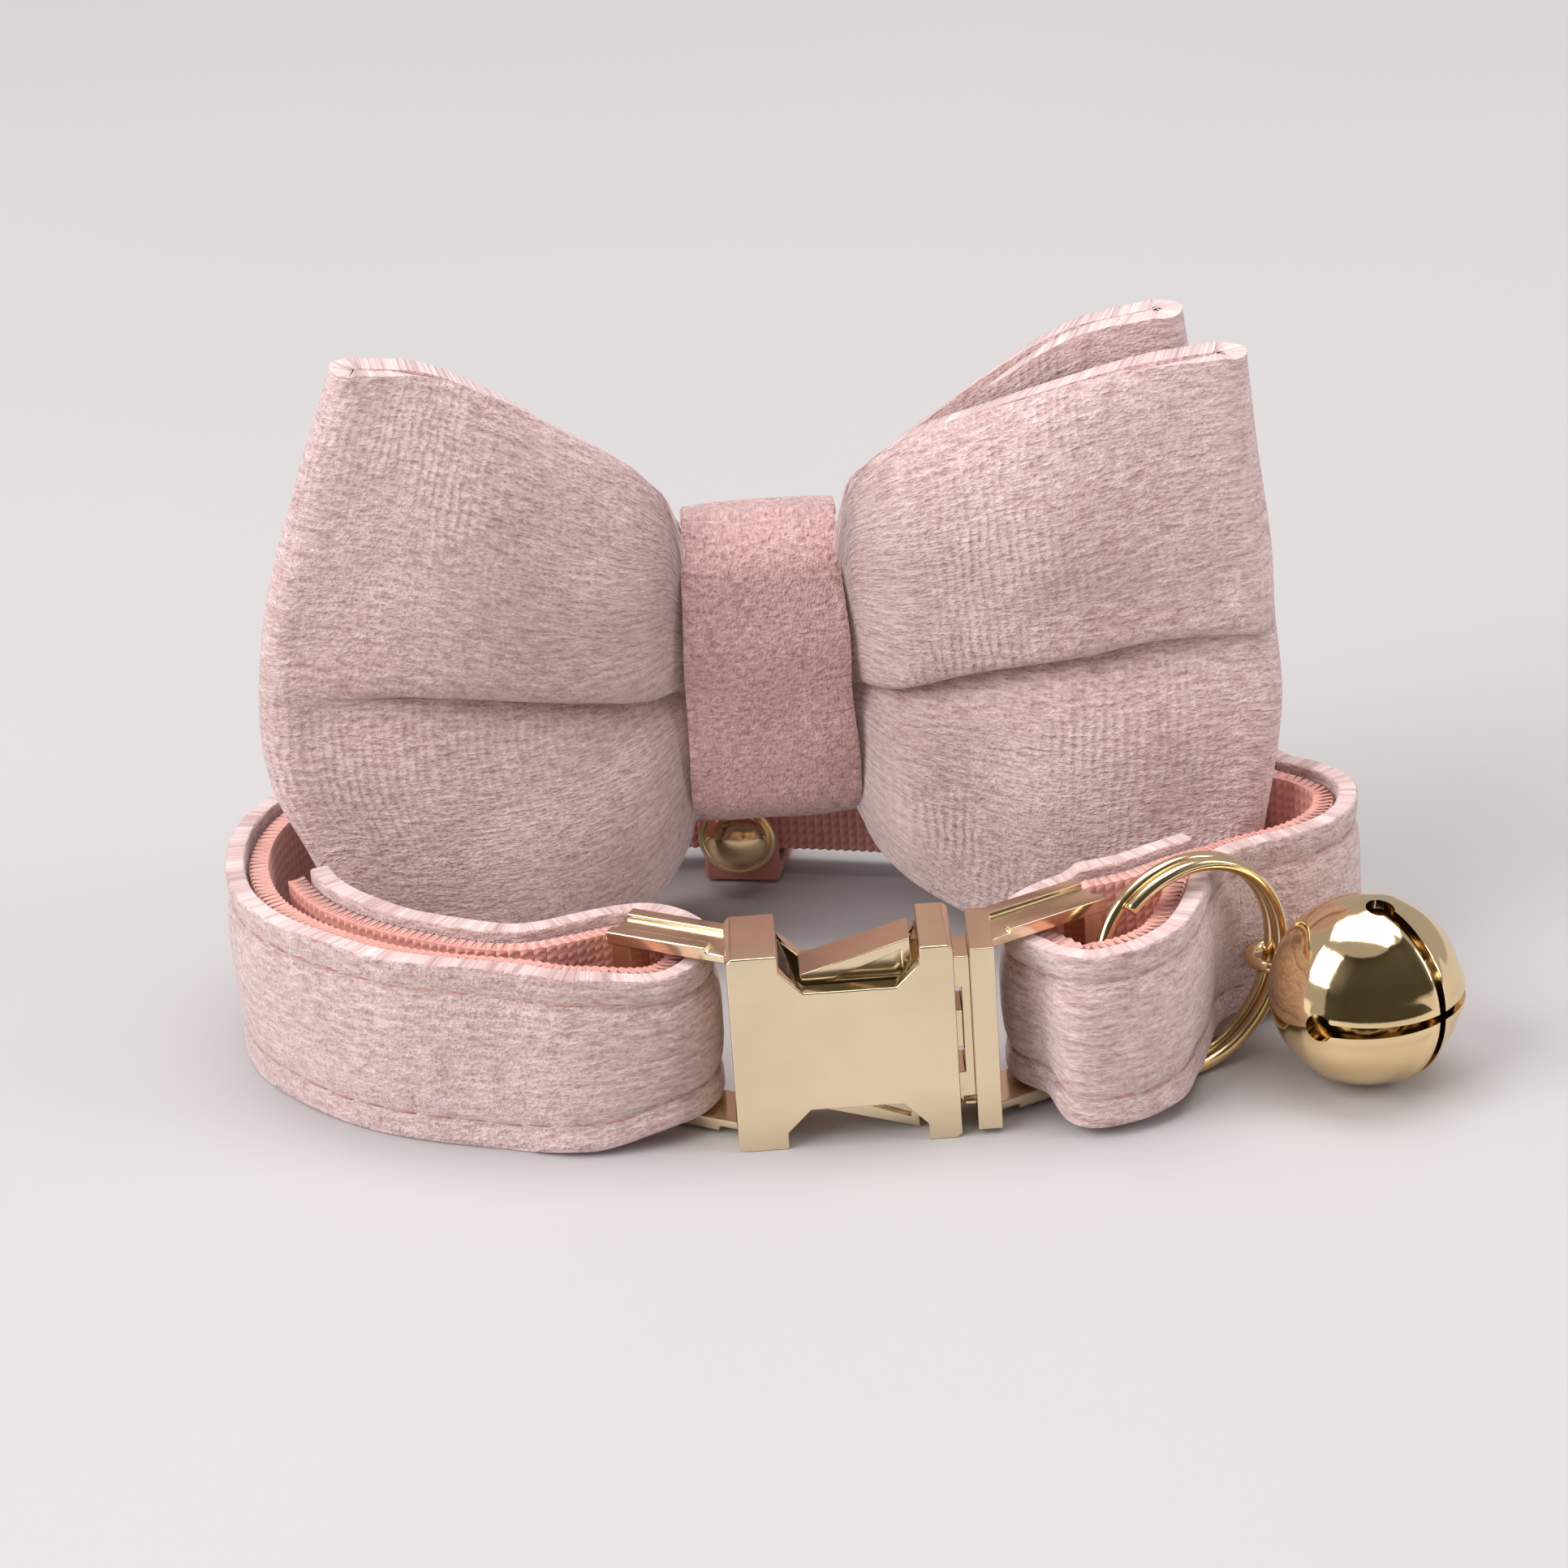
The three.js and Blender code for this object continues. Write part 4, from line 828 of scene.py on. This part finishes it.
# %% The knot
KNOT_DEEP = KNOT_WALL * 2 + GAP * 2 + sleeve_at_knot * 2 + GAP
half_deep, half_tall = (KNOT_DEEP - KNOT_WALL) / 2, (KNOT_HEIGHT - KNOT_WALL) / 2
KNOT_CORNER = 3.3
KNOT_ROUND = KNOT_CORNER - KNOT_WALL / 2
KNOT_CROWN, HEM, HEM_WIDE, LEAN_TOP, LEAN_FOOT = 0.5, 0.12, 0.8, 1.7, 0.9


def rounded_rectangle(share, half_x, half_y, corner):
    """A point on a rounded rectangle's outline, from the middle of its left side."""
    flat_x, flat_y = 2 * (half_x - corner), 2 * (half_y - corner)
    arc = corner * math.pi / 2
    distance = share * 2 * (flat_x + flat_y + 2 * arc)
    x, y, heading = -half_x, 0.0, math.pi / 2
    for run in (flat_y / 2, arc, flat_x, arc, flat_y, arc, flat_x, arc, flat_y / 2):
        step = min(distance, run)
        distance -= step
        if run == arc:
            turned = step / corner
            x += corner * (math.sin(heading) - math.sin(heading - turned))
            y -= corner * (math.cos(heading) - math.cos(heading - turned))
            heading -= turned
        else:
            x += step * math.cos(heading)
            y += step * math.sin(heading)
        if distance <= 0:
            break
    return x, y


def knot_point(u, v):
    """Where a point of the strip lies, from its share round the knot and across it."""
    deep, tall = rounded_rectangle(u, half_deep, half_tall, KNOT_ROUND)
    foot = 0.5 - tall / (2 * half_tall)
    half = (KNOT_WIDTH / 2 - KNOT_WALL * 0.25) * mix(0.97, 1.05, foot)
    across = mix(-half, half, v)
    crown = KNOT_CROWN * (1 - (across / half) ** 4) + HEM * hill(half - abs(across), HEM_WIDE)
    soft = rumple((across, tall, deep + 50), 4.0, 0.22)
    out = 0.0
    if deep < 0:
        out = crown + soft
        out -= LEAN_TOP * smooth(tall / half_tall, 0.25, 1.15)
        out -= LEAN_FOOT * smooth(-tall / half_tall, 0.4, 1.2)
    rise = 0.0
    if abs(tall) > half_tall - 0.01:
        rise = (crown * 0.6 + soft) * tall / half_tall
    side_wave = rumple((tall, 4.0 if v > 0.5 else 14.0, 0.0), 6.0, 0.3)
    return (
        BOW_X + across + side_wave * abs(across / half),
        KNOT_FRONT + KNOT_DEEP / 2 + deep - out,
        knot_middle + tall + rise,
    )


work = laid((260, 40), (4 * (half_deep + half_tall), KNOT_WIDTH), knot_point, closed=True)
knot = finished("bow_knot", work, "velvet", shaded_knot_velvet, "knot_wrap")
thicken(knot, KNOT_WALL, 0.55)

# %% [markdown]
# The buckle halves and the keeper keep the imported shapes. A copy of each node is merged, its
# flat faces are joined, and bevel softens the edges as casting and tumbling do.

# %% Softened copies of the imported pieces
def softened(name, node, slot, material, offset, segments):
    """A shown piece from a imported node, with its sharp edges rounded by so many mm."""
    work = bmesh.new()
    work.from_mesh(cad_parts[node].data)
    bmesh.ops.remove_doubles(work, verts=work.verts, dist=1e-6)
    bmesh.ops.dissolve_limit(
        work, angle_limit=math.radians(1), verts=work.verts, edges=work.edges
    )
    sharp = [e for e in work.edges if e.is_manifold and e.calc_face_angle() > math.radians(25)]
    bmesh.ops.bevel(
        work, geom=sharp, offset=offset * MM, affect="EDGES", segments=segments,
        profile=0.5, material=-1, clamp_overlap=True,
    )
    bmesh.ops.triangulate(work, faces=[f for f in work.faces if len(f.verts) > 4])
    piece = finished(name, work, slot, material, node)
    piece.data.set_sharp_from_angle(angle=math.radians(40))
    piece.modifiers.new("even shading", "WEIGHTED_NORMAL").keep_sharp = True


softened("cast_body", "buckle_body", "gold", buckle_gold, 0.14, 3)
softened("cast_plug", "buckle_plug", "gold", buckle_gold, 0.11, 2)
softened("webbing_keeper", "bow_keeper", "webbing", webbing, 0.3, 3)

# %% [markdown]
# The split ring is two turns of round wire with one short step where they cross. A curve with
# a round bevel draws it, and its two ends are filed flat.

# %% The split ring
RING_TURNS, RING_STEP_AT, COIL_STEP = 1.86, math.radians(155), RING_WIRE + TURN_GAP
RING_OUTSIDE = 2 * RING_RADIUS + RING_WIRE
RING_HEIGHT = RING_OUTSIDE / 2 + 0.05
RING_STEPS = 260


def in_ring(along, up, forward):
    """A point of the ring's own plane, as a place in the model's frame."""
    spot = ring_at(along, forward)
    return placed((spot.x, spot.y, RING_HEIGHT + up))


line = bpy.data.curves.new("split_ring", "CURVE")
line.dimensions = "3D"
wire = line.splines.new("POLY")
wire.points.add(RING_STEPS)
for k in range(RING_STEPS + 1):
    turned = (k / RING_STEPS - 0.5) * RING_TURNS
    angle = RING_STEP_AT + turned * math.tau
    drift = (smooth(turned, RING_TURNS / 2 - 1, 1 - RING_TURNS / 2) - 0.5) * COIL_STEP
    spot = in_ring(RING_RADIUS * math.cos(angle), RING_RADIUS * math.sin(angle), drift)
    wire.points[k].co = (*spot, 1)
line.bevel_depth = RING_WIRE / 2 * MM
line.bevel_resolution = 5
line.use_fill_caps = True
drawn = linked("drawn_ring", line)
work = bmesh.new()
work.from_mesh(drawn.evaluated_get(bpy.context.evaluated_depsgraph_get()).to_mesh())
bpy.data.objects.remove(drawn)
bmesh.ops.remove_doubles(work, verts=work.verts, dist=1e-7)
finished("wire_ring", work, "gold", ring_gold, "split_ring")

# %% [markdown]
# The bell is pressed from thin sheet: a hollow ball whose four petals meet at a cross of
# slots. Near each slot the sheet is pressed outwards into a lip. The ball starts as a fine
# sphere with its pole at the slots, the lip is pushed out, and wedges cut the slots, which
# are wider towards the round hole at each end.

# %% The bell
BELL_RADIUS, BELL_WALL, SLOT, SLOT_END = 6.0, 0.6, 0.9, 1.8
SLOT_REACH, BELL_TURN = math.radians(78), math.radians(-48)
SLOT_AT_POLE, SLOT_AT_END, SLOT_STEPS, CUT_REACH = 0.6, 1.35, 10, 12
LIP, LIP_AWAY, LIP_WIDE, BELT, BELT_WIDE = 0.16, 0.5, 0.55, 0.05, 0.5
BELL_OFF_RING = 0.3
SHANK_REACH = BELL_RADIUS + RING_THICK / 2 + BELL_OFF_RING
ring_end = ring_at(RING_RADIUS, 0)
bell_x = ring_end.x + SHANK_REACH * math.cos(BELL_TURN)
bell_y = ring_end.y + SHANK_REACH * math.sin(BELL_TURN)
bell_place = (
    Matrix.Translation(placed((bell_x, bell_y, BELL_RADIUS)))
    @ Matrix.Rotation(BELL_TURN, 4, "Z")
    @ Matrix.Diagonal((MM, MM, MM, 1.0))
)


def verts_of(items):
    return [item for item in items if isinstance(item, bmesh.types.BMVert)]


def slot_distance(direction):
    """How far a point of the ball is from the nearest slot's middle line, in mm."""
    point = direction * BELL_RADIUS
    across = min(abs(point.y), abs(point.z))
    angle = direction.angle(Vector((1, 0, 0)))
    beyond = max(0.0, angle - SLOT_REACH) * BELL_RADIUS
    return math.hypot(across, beyond)


work = bmesh.new()
bmesh.ops.create_uvsphere(work, u_segments=128, v_segments=80, radius=BELL_RADIUS)
bmesh.ops.rotate(work, verts=work.verts, matrix=Matrix.Rotation(math.pi / 2, 3, "Y"))
for vert in work.verts:
    direction = vert.co.normalized()
    lip = LIP * hill(slot_distance(direction) - LIP_AWAY, LIP_WIDE)
    vert.co += direction * (lip + BELT * hill(vert.co.x, BELT_WIDE))
inner = bmesh.ops.duplicate(work, geom=work.verts[:] + work.edges[:] + work.faces[:])["geom"]
for vert in verts_of(inner):
    vert.co *= (BELL_RADIUS - BELL_WALL) / BELL_RADIUS
inner_faces = [item for item in inner if isinstance(item, bmesh.types.BMFace)]
bmesh.ops.reverse_faces(work, faces=inner_faces)
work.transform(bell_place)
bell = finished("pressed_bell", work, "gold", bell_gold, "bell")

cutter_work = bmesh.new()
for quarter in range(4):
    turn = Matrix.Rotation(quarter * math.pi / 2, 4, "X")
    first = cutter_work.verts.new((0, 0, -SLOT / 2))
    rim = [
        cutter_work.verts.new((CUT_REACH * math.cos(a), CUT_REACH * math.sin(a), -SLOT / 2))
        for a in (SLOT_REACH * k / SLOT_STEPS for k in range(SLOT_STEPS + 1))
    ]
    fan = cutter_work.faces.new([first, *rim])
    raised = bmesh.ops.extrude_face_region(cutter_work, geom=[fan])["geom"]
    lifted = verts_of(raised)
    bmesh.ops.translate(cutter_work, verts=lifted, vec=(0, 0, SLOT))
    wedge = [first, *rim, *lifted]
    for vert in wedge:
        share = math.atan2(vert.co.y, vert.co.x) / SLOT_REACH
        vert.co.z *= mix(SLOT_AT_POLE, SLOT_AT_END, share)
    bmesh.ops.rotate(cutter_work, verts=wedge, matrix=turn.to_3x3())
bmesh.ops.triangulate(cutter_work, faces=cutter_work.faces)
bmesh.ops.recalc_face_normals(cutter_work, faces=cutter_work.faces)
cutter_work.transform(bell_place)


def drill_work():
    """The four round holes at the slots' ends."""
    drill = bmesh.new()
    for quarter in range(4):
        matrix = (
            Matrix.Rotation(quarter * math.pi / 2, 4, "X")
            @ Matrix.Rotation(SLOT_REACH, 4, "Z")
            @ Matrix.Translation((BELL_RADIUS, 0, 0))
            @ Matrix.Rotation(math.pi / 2, 4, "Y")
        )
        bmesh.ops.create_cone(
            drill, cap_ends=True, segments=28, radius1=SLOT_END / 2, radius2=SLOT_END / 2,
            depth=4, matrix=matrix,
        )
    drill.transform(bell_place)
    return drill


def cut_with(piece, tool_work):
    """Subtracts a tool from a piece and keeps only the result."""
    tool = meshed("tool", tool_work)
    modifier = piece.modifiers.new("cut", "BOOLEAN")
    modifier.operation = "DIFFERENCE"
    modifier.solver = "EXACT"
    modifier.use_self = True
    modifier.object = tool
    made = bpy.data.meshes.new_from_object(
        piece.evaluated_get(bpy.context.evaluated_depsgraph_get())
    )
    piece.modifiers.remove(modifier)
    piece.data = made
    bpy.data.objects.remove(tool)


cut_with(bell, cutter_work)
cut_with(bell, drill_work())
bell.data.shade_smooth()
bell.data.set_sharp_from_angle(angle=math.radians(38))
print("bell", len(bell.data.polygons), "faces")

# %% [markdown]
# The shank is a small wire loop soldered to the bell's back, which hangs on the split ring.
# A circle spun about the loop's axis makes it.

# %% The bell's shank
SHANK_WIRE, SHANK_HOLE = 0.8, 2.6
work = bmesh.new()
section = bmesh.ops.create_circle(
    work, segments=14, radius=SHANK_WIRE / 2, matrix=Matrix.Rotation(math.pi / 2, 4, "X")
)["verts"]
bmesh.ops.translate(work, verts=section, vec=((SHANK_HOLE + SHANK_WIRE) / 2, 0, 0))
bmesh.ops.spin(
    work, geom=work.verts[:] + work.edges[:], cent=(0, 0, 0), axis=(0, 0, 1),
    angle=math.tau, steps=40, use_merge=True,
)
bmesh.ops.recalc_face_normals(work, faces=work.faces)
bmesh.ops.translate(work, verts=work.verts, vec=(-SHANK_REACH, 0, 0))
work.transform(bell_place)
finished("bell_shank", work, "gold", ring_gold)

# %% [markdown]
# The snap's cap is a low dome in a thin rolled rim. Its half section is spun once round, and
# the cap faces the front, square to the far side of the strap where the keeper holds it.

# %% The snap's cap
KEEPER_X = BOW_X - 2.2
SNAP_RADIUS, SNAP_HEIGHT, SNAP_LOW, KEEPER_THICK = 2.75, 1.9, 1.0, 1.0
DOME_RADIUS, DOME_FOOT, DOME_STEPS = 2.26, 0.44, 12
far = [entry for entry in route if entry[1].y > LOOP_DEPTH / 2 and entry[2].x < -0.5]
crossing = next(k for k, entry in enumerate(far) if entry[1].x < KEEPER_X)
far_spot, far_way = far[crossing][1], far[crossing][2]
slope = math.atan2(-far_way.y, -far_way.x)
snap_back = -(STRAP / 2 + 2 * GAP + KEEPER_THICK) - GAP * 1.3
snap_place = (
    Matrix.Translation(placed((KEEPER_X, far_spot.y, 0)))
    @ Matrix.Rotation(slope, 4, "Z")
    @ Matrix.Diagonal((MM, MM, MM, 1.0))
    @ Matrix.Translation((0, snap_back, SNAP_LOW + SNAP_RADIUS))
    @ Matrix.Rotation(math.pi / 2, 4, "X")
)
profile = [
    (0, 0), (2.65, 0), (SNAP_RADIUS, 0.12), (SNAP_RADIUS, 0.4), (2.6, 0.55), (2.4, 0.55),
    (2.3, 0.46),
]
for k in range(DOME_STEPS + 1):
    angle = math.pi / 2 * k / DOME_STEPS
    rise = (SNAP_HEIGHT - DOME_FOOT) * math.sin(angle)
    profile.append((DOME_RADIUS * math.cos(angle), DOME_FOOT + rise))
profile[-1] = (0, SNAP_HEIGHT)
work = bmesh.new()
corners = [work.verts.new((radius, 0, height)) for radius, height in profile]
for a, b in zip(corners, corners[1:]):
    work.edges.new((a, b))
bmesh.ops.spin(
    work, geom=work.verts[:] + work.edges[:], cent=(0, 0, 0), axis=(0, 0, 1),
    angle=math.tau, steps=56, use_merge=True,
)
bmesh.ops.remove_doubles(work, verts=work.verts, dist=1e-4)
bmesh.ops.recalc_face_normals(work, faces=work.faces)
work.transform(snap_place)
finished("snap_dome", work, "gold", ring_gold, "snap_cap")

# %% [markdown]
# The collar stands on a plain pale floor in soft light. A broad panel on the upper left is
# the main light, one above brightens the top edges and a small one on the right fills. A dark
# curved screen in front is seen in the polished metal alone, as the dark side of a room is.

# %% The floor and the dark side of the room
def staged(name, work, finish):
    """A thing that stands round the collar and isn't part of it."""
    thing = meshed(name, work)
    thing.data.materials.append(finish.material)
    return thing


floor_finish = Finish("pale floor", Specular_IOR_Level=0.35)
cloudy = floor_finish.specks(floor_finish.solid(6.0), 1.0, 2.0)
floor_finish.wear(
    Base_Color=floor_finish.colour(cloudy, (0.50, 0.482, 0.484, 1), (0.54, 0.522, 0.523, 1)),
    Roughness=0.5 + cloudy * 0.1,
)
work = bmesh.new()
bmesh.ops.create_grid(work, x_segments=1, y_segments=1, size=3.0)
staged("floor", work, floor_finish)

SCREEN_AWAY, SCREEN_LOW, SCREEN_HIGH = 0.55, 0.03, 1.05
SCREEN_FROM, SCREEN_TO = math.radians(-52), math.radians(80)
screen_x, screen_y = SCREEN_AWAY * math.sin(SCREEN_FROM), -SCREEN_AWAY * math.cos(SCREEN_FROM)
work = bmesh.new()
upright = [work.verts.new((screen_x, screen_y, z)) for z in (SCREEN_LOW, SCREEN_HIGH)]
bmesh.ops.spin(
    work, geom=[*upright, work.edges.new(upright)], cent=(0, 0, 0), axis=(0, 0, 1),
    angle=SCREEN_TO - SCREEN_FROM, steps=24,
)
dark_finish = Finish("dark room", Base_Color=(0.045, 0.040, 0.024, 1), Roughness=0.9)
dark = staged("dark_room", work, dark_finish)
dark.visible_camera = dark.visible_diffuse = dark.visible_shadow = False

# %% The lights
AIM = Vector((0, 0, 0.015))


def panel(name, place, size, power, tint):
    """A soft rectangular light that faces the collar."""
    light = bpy.data.lights.new(name, "AREA")
    light.shape = "RECTANGLE"
    light.size, light.size_y = size
    light.energy = power
    light.color = tint
    lamp = linked(name, light)
    lamp.location = place
    lamp.rotation_mode = "QUATERNION"
    lamp.rotation_quaternion = (AIM - lamp.location).to_track_quat("-Z", "Y")


panel("main light", (-0.70, -0.35, 0.62), (0.8, 0.7), 9.0, (1.0, 0.985, 0.975))
panel("top light", (0.05, 0.15, 0.85), (0.9, 0.5), 5.0, (1.0, 0.99, 0.99))
panel("side fill", (0.80, -0.20, 0.35), (0.35, 0.5), 2.6, (1.0, 0.975, 0.97))

world = bpy.data.worlds.new("room")
world.use_nodes = True
background = world.node_tree.nodes["Background"]
background.inputs["Color"].default_value = (0.90, 0.86, 0.87, 1.0)
background.inputs["Strength"].default_value = 0.48
bpy.context.scene.world = world
bpy.context.scene.view_settings.view_transform = "Standard"

# %% [markdown]
# The camera looks down at 24 degrees with a long lens and a slight roll, which is what the
# buckle, ring and bell show when their real sizes are fitted to the photograph.

# %% The camera
PHOTO_SIDE, FOCAL_PIXELS, SENSOR = 1932, 5600, 36.0
CAMERA_PLACE = (-1.89, -246.65, 134.43)
pitch, roll = math.radians(24), math.radians(4)
looking = Vector((0, math.cos(pitch), -math.sin(pitch)))
level_up = Vector((0, math.sin(pitch), math.cos(pitch)))
camera_right = Vector((1, 0, 0)) * math.cos(roll) - level_up * math.sin(roll)
camera_up = Vector((1, 0, 0)) * math.sin(roll) + level_up * math.cos(roll)
lens = bpy.data.cameras.new("camera")
lens.sensor_width = SENSOR
lens.lens = SENSOR * FOCAL_PIXELS / PHOTO_SIDE
lens.clip_start, lens.clip_end = 0.01, 20.0
camera = linked("camera", lens)
turned = Matrix((camera_right, camera_up, -looking)).transposed().to_4x4()
camera.matrix_world = Matrix.Translation(placed(CAMERA_PLACE)) @ turned
bpy.context.scene.camera = camera
